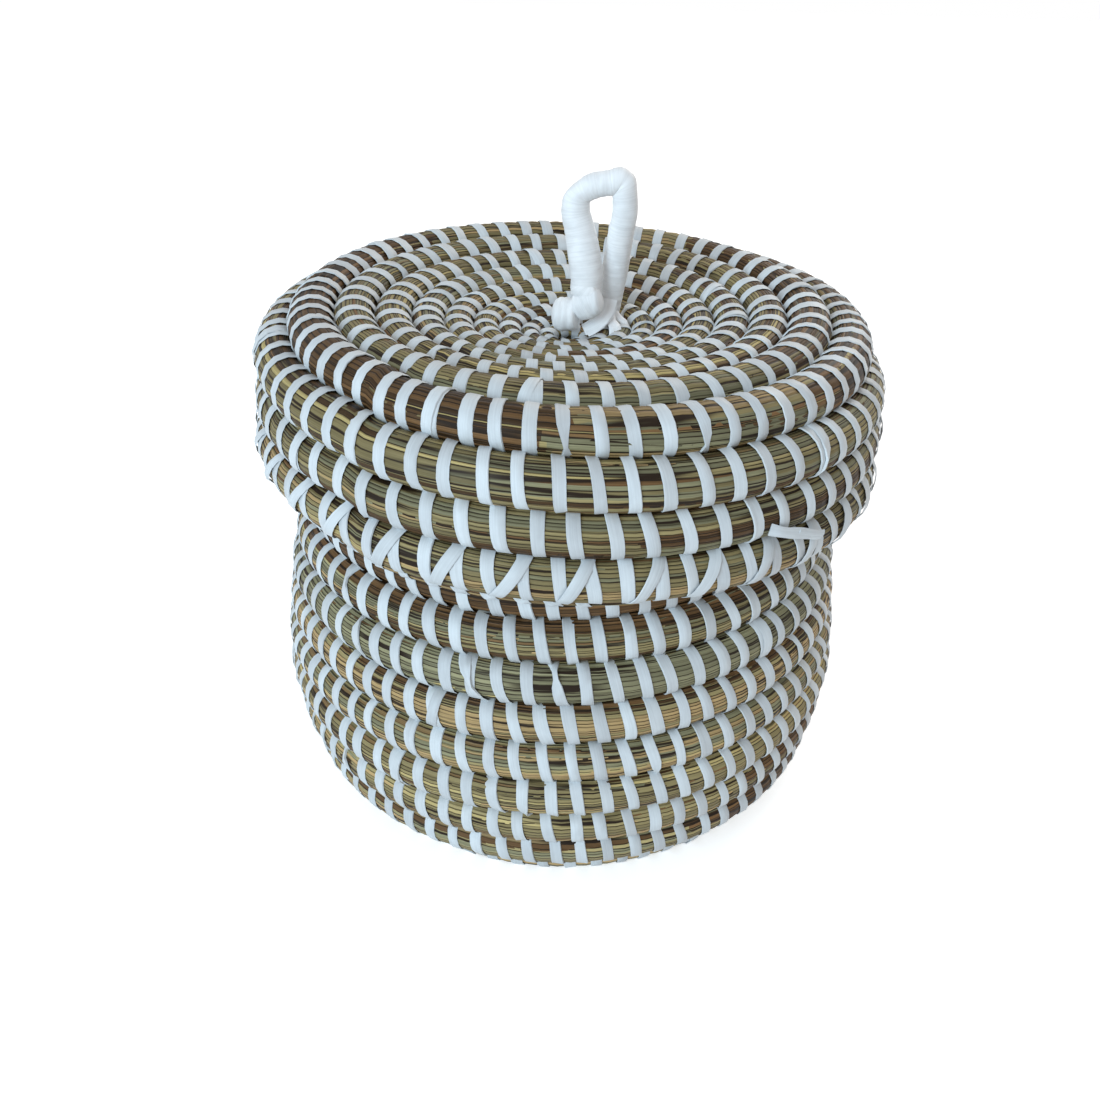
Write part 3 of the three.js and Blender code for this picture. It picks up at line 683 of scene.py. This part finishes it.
def grass_tones(body, turns, turned):
    """Shares of brown, green and tan stems over a coil. Each armful of grass covers some turns of
    the coil and some of the way round the bundle, with soft edges, and where two overlap the larger
    share holds. Armfuls that the photograph doesn't show come from a seeded draw."""
    draw = np.random.default_rng(UNSEEN_SEED[body])
    count = UNSEEN_COUNT
    armfuls = list(BASKET_ARMFULS if body == "basket" else LID_ARMFULS)
    hues = draw.choice(HUES, count, p=[0.45, 0.3, 0.25])
    ranges = [(0, 20), (0.12, 0.42), (-90, 90), (14, 40), (0.5, 0.95)]
    for armful in zip(hues, *(draw.uniform(*limits, count) for limits in ranges)):
        turn = armful[1]
        in_front = abs((turn - BACK_TURN) % 1 - 0.5) > 0.12
        if not (SHOWN[body][0] < turn < SHOWN[body][1] and in_front):
            armfuls.append(armful)
    whole = np.broadcast(turns, turned).shape
    tones = {hue: np.full(whole, share) for hue, share in zip(HUES, BACKGROUND[body])}
    angle = (turned / DEGREE + 90) % 360 - 90
    for hue, turn, half, middle, wide, amount in armfuls:
        cover = amount * window(turns, turn, half, 0.05) * window(angle, middle, wide, 9)
        tones[hue] = np.maximum(tones[hue], cover)
        for other in tones:
            if other != hue:
                tones[other] = tones[other] * (1 - cover)
    return tones


def bundle_piece(coil, part):
    """One stretch of a coil. A point is the section's outline at its angle, pressed a little where
    stitches hold it and rippled by its stems, carried along the winding."""
    stems = bpy.context.scene.grass_looks
    begin, end = coil.run[list(coil.stretches[part])]
    at = rings_at(coil, np.linspace(begin, end, int((end - begin) / RING_STEP)))
    angles = np.linspace(-TURN / 4, 3 * TURN / 4, AROUND + 1)[None, :]
    turned = angles[:, :-1]
    s = between(coil.run, at)[:, None]
    stitches = stitch_places(coil)
    held = np.interp(at, stitches, np.arange(len(stitches)))
    pinch = np.cos(TURN * held)[:, None] ** 3 * 0.036
    uneven = 1 + stems.unevenness * ripple(5, s, turned) - pinch
    along, across = section(turned)
    bundle = between(coil.bundle, at)[:, None]
    along = along * (1 + TURN_GAP / bundle) + 0 * s
    rings = on_bundle(coil, at[:, None] + 0 * turned, along, across * uneven)
    shift = 0 if coil.body == "basket" else 9000  # so that the lid's pattern is its own
    points, faces, places = tube(rings, s[:, 0] + shift, angles * bundle * FLANK)
    tones = grass_tones(coil.body, at[:, None] / PER_TURN, turned)
    values = {hue: np.append(share.ravel(), [0.2, 0.2]) for hue, share in tones.items()}
    bleached = np.interp(at / PER_TURN, *BLEACHED[coil.body])
    values["bleached"] = np.append(np.repeat(bleached, AROUND), bleached[[0, -1]])
    node = f"{coil.body}_{part}"
    piece = new_piece(
        f"{node}_grass", coil.body, "dry grass stems", points, faces, places, **values
    )
    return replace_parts(piece, node)


def proud_stems(coil, part, seed, count):
    """Single stems that stand a little proud of the bundle, past its first turn. Each is a thin
    closed strand with four sides that runs nearly along the coil, from ring place to ring place,
    and sinks in at both ends by the square root of its distance from them."""
    draw = np.random.default_rng(seed)
    first, last = coil.stretches[part]
    first = max(first, PER_TURN)
    n, m = 10, 4
    share = np.linspace(0, 1, n)[None, :]

    def drawn(low, high):
        return draw.uniform(low, high, (count, 1))

    run = drawn(coil.run[first] + 8, coil.run[last] - 8)
    run = run + (share - 0.5) * drawn(35, 95)
    at = rings_at(coil, np.clip(run, coil.run[first], coil.run[last]))
    bundle = between(coil.bundle, at)
    middle = drawn(-1, 1)
    middle = np.sign(middle) * np.abs(middle) ** 0.8 * 68 * DEGREE
    angle = middle + (share - 0.5) * draw.normal(0, 0.16, (count, 1))
    angle = angle + 0.05 * np.sin(share * drawn(3, 9) + drawn(0, 6))
    full = (4 * share * (1 - share)) ** 0.5
    half = drawn(0.4, 0.85) * (0.25 + 0.75 * full) * np.clip(bundle / 13, 0.4, 1)
    proud = drawn(0.04, 0.15) * full - 0.25 * (1 - full)
    aside = np.array([-1, -0.55, 0.55, 1])
    up = np.array([-0.5, 1, 1, -0.5])
    high = np.where(up > 0, proud[..., None], -0.3 - 0.2 * (1 - full)[..., None])
    turned = angle[..., None] + aside * half[..., None] / (bundle[..., None] * FLANK)
    along, across = section(turned)
    lifted = 1 + 2 * high / bundle[..., None]
    along = along * (1 + TURN_GAP / bundle[..., None]) * lifted
    corners = on_bundle(coil, at[..., None] + 0 * turned, along, across * lifted)
    quads = grid(count, n, m)[0].reshape(-1, 4)
    one = np.arange(count)[:, None] * n * m
    ends = np.vstack([one + [3, 2, 1, 0], one + (n - 1) * m + np.arange(m)])
    faces = np.vstack([quads, ends])
    u = (run + drawn(0, 900))[..., None] + 0 * turned
    v = drawn(0, 400)[..., None] + aside * half[..., None] * 0.7
    places = np.stack([u, v], -1).reshape(-1, 2)[faces].reshape(-1, 2)
    hue = draw.choice(4, count, p=[0.27, 0.23, 0.24, 0.26])
    hues = {key: np.repeat((hue == i) * 1.0, n * m) for i, key in enumerate(HUES)}
    hues["bleached"] = np.interp(np.repeat(at.ravel(), m) / PER_TURN, *BLEACHED[coil.body])
    return new_piece(
        f"{coil.body}_{part}_stems", coil.body, "dry grass stems", corners.reshape(-1, 3),
        faces.tolist(), places, sharp=60, **hues,
    )


# Stitches


def with_doubles(coil, at, lean, seed):
    """Stitch places and leans, with a second band over some stitches, at its own slant and lift."""
    draw = np.random.default_rng(seed)
    again = at[draw.random(len(at)) < bpy.context.scene.stitching.doubled_share]
    aside = draw.uniform(-2.2, 2.2, len(again)) / between(np.gradient(coil.run), again)
    slant = draw.choice([-1, 1], len(again)) * draw.uniform(2.2, 5, len(again))
    lift = np.r_[0 * at, np.full(len(again), DOUBLE_LIFT)]
    again = np.clip(again + aside, 0, coil.last)
    return np.r_[at, again], lean + np.r_[0 * at, slant], lift[:, None]


def stitch_piece(name, coil, at, lean, seed, lift):
    """Closed bands of strip round the bundle at ring places. A band follows the section's outline,
    lifted off it, and leans along the coil by its share along the section. Its foot reaches a
    little into the turn before. A twisted one narrows to a waist: its width falls by the bell curve
    exp(-((angle - waist) / 0.35)^2)."""
    stitching = bpy.context.scene.stitching
    draw = np.random.default_rng(seed)
    k = len(at)
    outside = np.linspace(-99, 99, 12) * DEGREE
    inside = np.array([150, 210]) * DEGREE
    turned = np.r_[outside, inside][None, :]
    bundle = between(coil.bundle, at)[:, None]
    along, across = section(turned)
    facing = (across > 0) * 1.0
    lifted = 1 + 2 * (stitching.lift / MM + lift * facing * np.cos(turned / 2)) / bundle
    poke = 1 + 0.13 * ease((-along - 0.35) / 0.65) * facing
    along = along * (1 + TURN_GAP / bundle) * poke + 0 * bundle
    across = across * lifted
    mm_per_ring = np.gradient(coil.run)
    shift = lean[:, None] * along / 2 + draw.normal(0, 0.35, (k, 1))
    shift = shift + draw.normal(0, 0.3, (k, 1)) * along
    shift += 0.22 * np.sin(turned * draw.uniform(1, 3, (k, 1)) + draw.uniform(0, TURN, (k, 1)))
    ring = at[:, None] + shift / between(mm_per_ring, at)[:, None]
    path = on_bundle(coil, ring, along, across)
    middle = on_bundle(coil, ring, along * 0, across * 0)
    onward = unit(np.roll(path, -1, 1) - np.roll(path, 1, 1))
    out = unit(path - middle)
    side = unit(np.cross(onward, out))
    out = np.cross(side, onward)
    grown = np.interp(bundle, [6, 14], [3.5, stitching.strip_width / MM])
    width = grown * draw.normal(1, 0.05, (k, 1)).clip(0.86, 1.12)
    width = width * (1 + 0.05 * np.sin(2 * turned + draw.uniform(0, TURN, (k, 1))))
    pinched = draw.random((k, 1)) < stitching.folded_share
    waist = draw.uniform(-0.9, 0.9, (k, 1))
    narrow = np.exp(-(((turned - waist) / 0.35) ** 2)) * pinched
    width = width * (1 - 0.68 * narrow)
    thick = stitching.strip_thickness / MM * (1 + 1.6 * narrow)
    tilt = draw.normal(0, 0.06, (k, 1)) + 0.5 * narrow
    wide = np.array([-0.5, -0.44, 0.44, 0.5])
    high = np.array([-0.2, 1, 1, -0.2])
    rise = high * thick[..., None] + (wide * (tilt * width)[..., None]) * (high > 0)
    corners = (
        path[:, :, None]
        + side[:, :, None] * (wide * width[..., None])[..., None]
        + out[:, :, None] * rise[..., None]
    )
    run = np.cumsum(np.linalg.norm(np.diff(path, axis=1, prepend=path[:, :1]), axis=-1), 1)
    each = draw.random(k) * 0.98 + np.arange(k)
    points, faces, places = closed_bands(corners, wide * stitching.strip_width / MM, run)
    each = np.repeat(each, turned.shape[1] * 4)
    return new_piece(name, coil.body, "white strip", points, faces, places, sharp=50, each=each)


# Handle


def even(*stations):
    """A width by share of the length, which changes evenly between the given ones."""
    shares, widths = np.array(stations).T
    return lambda t: np.interp(t, shares, widths)


def bulging(t):
    """The low wrap's width by share of its length, thickest in the middle."""
    return 8.4 + 1.4 * np.sin(np.pi * t)


def wrapped(name, line, width, pitch, seed, domes=(0.0, 0.0), bends=(), depth=0.13, around=36):
    """A bundle closely wound with strip, along a line. The radius at a place is half of the width
    there, less a step that grows evenly over each wrap's pitch, with slow ripples. A dome ends it
    by the square root of 1 less the squared share of its length still to go. At a bend the outer
    side is drawn out or in, and a crease runs round it."""
    draw = np.random.default_rng(seed)
    run = run_of(line)
    s = np.linspace(0, run[-1], max(int(run[-1] / pitch * 7), 30))
    centre = np.stack([np.interp(s, run, column) for column in line.T], -1)
    ahead = unit(np.gradient(centre, s, axis=0))
    y = np.array([0.0, 1.0, 0.0])
    aside = unit(y - ahead * (ahead @ y)[:, None])
    up = np.cross(ahead, aside)
    turned = np.linspace(0, TURN, around + 1)[None, :-1]
    wraps = s[:, None] / pitch + turned / TURN
    wraps = wraps + 0.4 * ripple(seed + 1, s[:, None], turned, (15, 60), (1, 4))
    step = wraps % 1
    slip = np.where(step < 0.86, step / 0.86, (1 - step) / 0.14)
    depth = depth + 0.1 * ripple(seed + 3, s[:, None], turned, (20, 50), (1, 3))
    radius = width(s / run[-1])[:, None] / 2 - depth * slip
    radius = radius + 0.17 * ripple(seed, s[:, None], turned, (12, 60), (1, 5))
    for end, dome in zip((s, run[-1] - s), domes):
        if dome:
            left = np.clip(1 - end / dome, 0, 1)[:, None]
            radius = radius * np.sqrt(np.maximum(1 - left**2, 0.01))
    across = aside[:, None] * np.cos(turned)[..., None] + up[:, None] * np.sin(turned)[..., None]
    for outward, drawn_out, crease in bends:
        outward = unit(np.array(outward, float))
        away = s - s[np.argmax(centre @ outward)]
        facing = np.maximum(across @ outward, 0)
        radius = radius + drawn_out * facing**2 * np.exp(-((away / 3) ** 2))[:, None]
        radius = radius - crease * np.exp(-((away / 0.45) ** 2))[:, None]
    rings = centre[:, None] + across * radius[..., None]
    v = np.linspace(0, TURN, around + 1)[None, :] * radius.mean(1)[:, None]
    points, faces, places = tube(rings, s + draw.uniform(0, 200), v)
    tint = np.clip(0.4 + 0.35 * ripple(seed + 2, s[:, None], turned, (8, 30), (1, 4)), 0.02, 0.98)
    tint = np.append(tint.ravel(), [0.4, 0.4])
    return new_piece(name, "lid", "white wrap", points, faces, places, each=tint)


def ribbon(name, strips, seed, facing, finish):
    """Loose lengths of flat strip. Each follows the smooth curve through its points and faces one
    way: its width runs across that direction and its own, crowned in the middle."""
    draw = np.random.default_rng(seed)
    points, faces, places, each = [], [], [], []
    held = 0
    for width, line in strips:
        line = even_paced(line, 7)
        ahead = unit(np.gradient(line, axis=0))
        front = unit(np.array(facing, float))
        up = unit(front - ahead * (ahead @ front)[:, None] + 1e-6)
        side = np.cross(ahead, up)
        across = np.array([-0.5, -0.3, 0.0, 0.3, 0.5, 0.3, 0, -0.3])
        high = np.array([0.0, 0.32, 0.45, 0.32, 0.0, -0.1, 0.0, -0.1])
        wide = width * (1 + 0.06 * np.sin(np.linspace(0, 9, len(line)) + draw.uniform(0, 6)))
        rings = (
            line[:, None]
            + side[:, None] * (across * wide[:, None])[..., None]
            + up[:, None] * high[None, :, None]
        )
        v = np.tile(np.r_[across, across[0]] * width, (len(line), 1))
        p, f, corner = tube(rings, run_of(line), v)
        corner = corner[:, ::-1]
        faces += [[k + held for k in face] for face in f]
        held += len(p)
        points.append(p)
        places.append(corner)
        each.append(np.full(len(p), draw.uniform(0.02, 0.9)))
    return new_piece(
        name, "lid", finish, np.vstack(points), faces, np.vstack(places), sharp=60,
        each=np.concatenate(each),
    )


# Operators


class OBJECT_OT_grass_basket(bpy.types.Operator):
    """Winds the basket's bundle: the flat base, the wall and the rows inside the lid"""

    bl_idname = "object.grass_basket"
    bl_label = "Basket coil"

    def execute(self, context):
        coil = basket_coil()
        for part in coil.stretches:
            bundle_piece(coil, part)
        return {"FINISHED"}


class OBJECT_OT_grass_lid(bpy.types.Operator):
    """Winds the lid's bundle: the dished disc and the rim with its long tail"""

    bl_idname = "object.grass_lid"
    bl_label = "Lid coil"

    def execute(self, context):
        coil = lid_coil()
        for part in coil.stretches:
            bundle_piece(coil, part)
        return {"FINISHED"}


class OBJECT_OT_grass_stems(bpy.types.Operator):
    """Lays single stems of grass a little proud of both coils"""

    bl_idname = "object.grass_stems"
    bl_label = "Proud stems"

    def execute(self, context):
        count = context.scene.grass_looks.proud_stems
        proud_stems(basket_coil(), "wall", 31, count)
        proud_stems(lid_coil(), "top", 37, count // 2)
        proud_stems(lid_coil(), "rim", 41, count // 2)
        return {"FINISHED"}


class OBJECT_OT_grass_stitching(bpy.types.Operator):
    """Sews every turn of both coils to the turn before it with bands of white strip, and the lid's
    last full row a second time with slanting bands"""

    bl_idname = "object.grass_stitching"
    bl_label = "Stitching"

    def execute(self, context):
        stitching = context.scene.stitching
        lean = stitching.lid_lean / MM
        for coil, own_lean, double_seed, seed in (
            (basket_coil(), -stitching.wall_lean / MM, 6, 3), (lid_coil(), lean, 8, 13),
        ):
            at = stitch_places(coil)
            for i, (part, (first, last)) in enumerate(coil.stretches.items()):
                held = at[(at >= first) & (at < last)]
                places, leans, lift = with_doubles(coil, held, own_lean, double_seed + i)
                stitch_piece(f"{coil.body}_{part}_stitches", coil, places, leans, seed + i, lift)
        begin, end = np.array(CROSS_TURNS) * PER_TURN
        pairs = np.arange(np.flatnonzero(at > begin)[0], np.flatnonzero(at < end)[-1], 2)
        middle = (at[pairs] + at[pairs + 1]) / 2
        run = np.interp(at, np.arange(coil.last + 1), coil.run)
        apart = run[pairs + 1] - run[pairs]
        cross = stitch_piece("lid_cross_stitches", coil, middle, lean - apart, 17, CROSS_LIFT)
        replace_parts(cross, "rim_cross_stitch")
        return {"FINISHED"}


class OBJECT_OT_grass_handle(bpy.types.Operator):
    """Winds the loop handle, its knot and the rolled end beside it, and lays the foot strips"""

    bl_idname = "object.grass_handle"
    bl_label = "Loop handle"

    def execute(self, context):
        size = np.array([HANDLE_SPREAD, HANDLE_SPREAD, HANDLE_HEIGHT])
        loop = even_paced(np.array(LOOP) * size + HANDLE_FOOT)
        bends = [((0.55, 0, 1), 1.3, 0.4), ((-0.8, 0, 1), -1.3, 0.1)]
        leg = wrapped("handle_wound_strip", loop, even(*LOOP_WIDTHS), 3.3, 51, bends=bends)
        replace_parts(leg, "handle_wrap")
        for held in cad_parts["handle_core"].material_slots:
            held.material = material("dull core stems")

        line = even_paced([(-6.6, -0.2, 187.2), (-2.2, -1.2, 187.5), (3.4, -2.6, 188.2)])
        widths = even((0, 11.4), (0.35, 12.9), (1, 11.6))
        knot = wrapped("handle_knot_strip", line, widths, 3.1, 57, (2.4, 1.6), depth=0.26)
        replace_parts(knot, "handle_knot")
        line = [(2.4, -2, 190.6), (5.2, -3.3, 192.2), (8.6, -4.4, 194.2), (11.7, -4.9, 195.2)]
        widths = even((0, 9.6), (0.35, 11.4), (1, 10.0))
        wrapped("handle_rolled_end", even_paced(line), widths, 3.4, 61, (1.2, 2.8), depth=0.24)
        line = [(3, -1.6, 200.8), (5, -2.6, 197.8), (8, -3.2, 196.6), (10.6, -2.6, 197.4)]
        wrapped("handle_low_wrap", even_paced(line), bulging, 4.2, 63, (3, 3.6))
        strips = ribbon("handle_foot_strips", FOOT_STRIPS, 67, (0, -0.5, 0.8), "white wrap")
        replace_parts(strips, "foot_strap_1", "foot_strap_2", "foot_strap_3")
        ribbon("lid_loose_end", LOOSE_END, 71, (0.66, -0.75, 0.05), "white strip")
        return {"FINISHED"}


def area_lamp(name, place, size, power, colour):
    lamp = bpy.data.lights.new(name, "AREA")
    lamp.shape = "DISK"
    lamp.size = size
    lamp.energy = power
    lamp.color = colour
    holder = bpy.data.objects.new(name, lamp)
    bpy.context.scene.collection.objects.link(holder)
    back = unit(np.array(place, float) - np.array([0, 0, LAMP_AIM]))
    right = unit(np.cross([0, 0, 1], back))
    turn = np.stack([right, np.cross(back, right), back], 1)
    holder.matrix_world = Matrix.Translation(place) @ Matrix(turn.tolist()).to_4x4()


def camera():
    """The photograph's camera: 36 mm of sensor and 36 mm of lens, in front and above, tipped a
    little to one side."""
    yaw, down, roll = CAMERA_YAW * DEGREE, CAMERA_DOWN * DEGREE, CAMERA_ROLL * DEGREE
    ahead = np.array([np.sin(yaw) * np.cos(down), np.cos(yaw) * np.cos(down), -np.sin(down)])
    right = np.array([np.cos(yaw), -np.sin(yaw), 0])
    up = np.cross(right, ahead)
    tipped = right * np.cos(roll) + up * np.sin(roll)
    upright = up * np.cos(roll) - right * np.sin(roll)
    lens = bpy.data.cameras.new("camera")
    lens.lens, lens.sensor_width, lens.clip_start = 36, 36, 0.02
    holder = bpy.data.objects.new("camera", lens)
    bpy.context.scene.collection.objects.link(holder)
    turn = np.stack([tipped, upright, -ahead], 1)
    place = (AXIS[0] * MM, (AXIS[1] - CAMERA_AHEAD) * MM, CAMERA_HEIGHT)
    holder.matrix_world = Matrix.Translation(place) @ Matrix(turn.tolist()).to_4x4()
    bpy.context.scene.camera = holder


class OBJECT_OT_grass_stage(bpy.types.Operator):
    """Lays the pale floor, hangs the lamps and stands the camera where the photograph was taken"""

    bl_idname = "object.grass_stage"
    bl_label = "Stage"

    def execute(self, context):
        stage = context.scene.stage_looks
        reach = 3.0
        corners = [(-reach, -reach), (reach, -reach), (reach, reach), (-reach, reach)]
        mesh = bpy.data.meshes.new("floor")
        mesh.from_pydata([(x, y, 0) for x, y in corners], [], [(0, 1, 2, 3)])
        floor = bpy.data.objects.new("floor", mesh)
        context.scene.collection.objects.link(floor)
        s = Surface("pale floor")
        s.shader.inputs["Base Color"].default_value = opaque(stage.floor_colour)
        s.shader.inputs["Roughness"].default_value = 0.9
        glow = s.node("ShaderNodeEmission", {"Color": (1, 1, 1, 1), "Strength": stage.floor_lift})
        both = s.node("ShaderNodeAddShader", {0: s.shader.outputs[0], 1: glow.outputs[0]})
        s.shown_to_camera(s.shader.outputs[0], both.outputs[0], "Material Output")
        mesh.materials.append(s.owner)

        room = Surface("soft room", "worlds")
        context.scene.world = room.owner
        fill = room.tree.nodes["Background"]
        fill.inputs[0].default_value = opaque(stage.fill_colour)
        fill.inputs[1].default_value = stage.fill
        white = room.node("ShaderNodeBackground", {0: (1, 1, 1, 1)})
        room.shown_to_camera(fill.outputs[0], white.outputs[0], "World Output")

        area_lamp("window", (-1.05, -1.5, 0.85), 1.2, stage.window, stage.window_colour)
        area_lamp("behind", (0.9, 1.3, 1.1), 1.2, stage.behind, (1.0, 0.97, 0.92))
        camera()
        context.scene.view_settings.view_transform = "Standard"
        return {"FINISHED"}


# Settings


def number(name, words, default, **limits):
    return FloatProperty(name=name, description=words, default=default, **limits)


def length(name, words, default):
    return number(name, words, default, unit="LENGTH", min=0, precision=5)


def colour(name, words, default):
    return FloatVectorProperty(
        name=name, description=words, default=default, subtype="COLOR", min=0, max=1
    )


class GrassLooks(bpy.types.PropertyGroup):
    khaki: colour("Khaki", "Most of the dried stems", (0.226, 0.182, 0.085))
    green: colour("Green", "Stems that dried in the shade", (0.228, 0.212, 0.122))
    brown: colour("Brown", "Dark lower stems", (0.092, 0.05, 0.021))
    tan: colour("Tan", "Broad pale leaves", (0.37, 0.255, 0.118))
    straw: colour("Straw", "The palest stems", (0.578, 0.456, 0.188))
    # Colour of the painted shade in the gaps between stems
    painted_gap_shade: colour("Slit", "Shade between two stems", (0.018, 0.01, 0.005))
    stem_width: length("Stem width", "Typical width of one stem", 0.0014)
    stem_length: length("Stem length", "How far one stem shows before another covers it", 0.14)
    proud_stems: IntProperty(
        name="Proud stems", description="Single stems laid on each coil", default=260, min=2
    )
    unevenness: number("Unevenness", "How far stems stand proud, as a share of the bundle", 0.013)


class Stitching(bpy.types.PropertyGroup):
    strip_width: length("Strip width", "Width of the flat plastic strip", 0.0042)
    strip_thickness: length("Strip thickness", "Thickness of the strip", 0.0002)
    lift: length("Lift", "How far the strip stands off the bundle's even outline", 0.00032)
    wall_spacing: length("Wall spacing", "From one stitch to the next on the wall", 0.0091)
    wall_lean: length("Wall lean", "How far a wall stitch leans over its row", 0.0028)
    lid_lean: length("Lid lean", "How far a lid stitch leans over its row", 0.002)
    doubled_share: number("Doubled share", "Share of stitches that were sewn twice", 0.04)
    folded_share: number("Folded share", "Share of stitches with a folded or twisted strip", 0.045)


class StripLooks(bpy.types.PropertyGroup):
    white: colour("White", "Clean strip", (0.7, 0.745, 0.77))
    grey: colour("Grey", "Duller strip", (0.585, 0.615, 0.635))
    wrap: colour("Wrap", "Strip of the handle, which is cleaner", (0.955, 0.965, 0.975))
    wrap_shade: colour("Wrap shade", "Duller wraps of the handle", (0.89, 0.905, 0.92))


class StageLooks(bpy.types.PropertyGroup):
    floor_colour: colour("Floor", "Colour of the floor", (0.86, 0.86, 0.86))
    floor_lift: number("Floor lift", "White added to the floor as seen", 0.55)
    fill_colour: colour("Fill", "Colour of the room's light", (0.98, 0.975, 0.975))
    fill: number("Fill strength", "Light from all sides", 0.52)
    window_colour: colour("Window colour", "Colour of the window's light", (0.65, 0.85, 1.0))
    window: number("Window", "Power of the window's light", 25.5, unit="POWER")
    behind: number("Behind", "Power of the lamp behind", 12.0, unit="POWER")


class VIEW3D_PT_grass_box(bpy.types.Panel):
    """Lists the steps that make the box"""

    bl_label = "Grass box"
    bl_idname = "VIEW3D_PT_grass_box"
    bl_space_type = "VIEW_3D"
    bl_region_type = "UI"
    bl_category = "Grass box"

    def draw(self, context):
        for operator in OPERATORS:
            self.layout.operator(operator.bl_idname)
        for name in SETTINGS:
            group = getattr(context.scene, name)
            for key in group.bl_rna.properties.keys():
                if key not in ("rna_type", "name"):
                    self.layout.prop(group, key)


OPERATORS = [
    OBJECT_OT_grass_basket,
    OBJECT_OT_grass_lid,
    OBJECT_OT_grass_stems,
    OBJECT_OT_grass_stitching,
    OBJECT_OT_grass_handle,
    OBJECT_OT_grass_stage,
]
SETTINGS = {
    "grass_looks": GrassLooks,
    "stitching": Stitching,
    "strip_looks": StripLooks,
    "stage_looks": StageLooks,
}


def register():
    for made in [*SETTINGS.values(), *OPERATORS, VIEW3D_PT_grass_box]:
        bpy.utils.register_class(made)
    for name, group in SETTINGS.items():
        setattr(bpy.types.Scene, name, PointerProperty(type=group))


def unregister():
    for name in SETTINGS:
        delattr(bpy.types.Scene, name)
    for made in [VIEW3D_PT_grass_box, *OPERATORS, *SETTINGS.values()]:
        bpy.utils.unregister_class(made)


def main():
    register()
    bpy.ops.object.grass_basket()
    bpy.ops.object.grass_lid()
    bpy.ops.object.grass_stems()
    bpy.ops.object.grass_stitching()
    bpy.ops.object.grass_handle()
    bpy.ops.object.grass_stage()


if __name__ == "__main__":
    main()
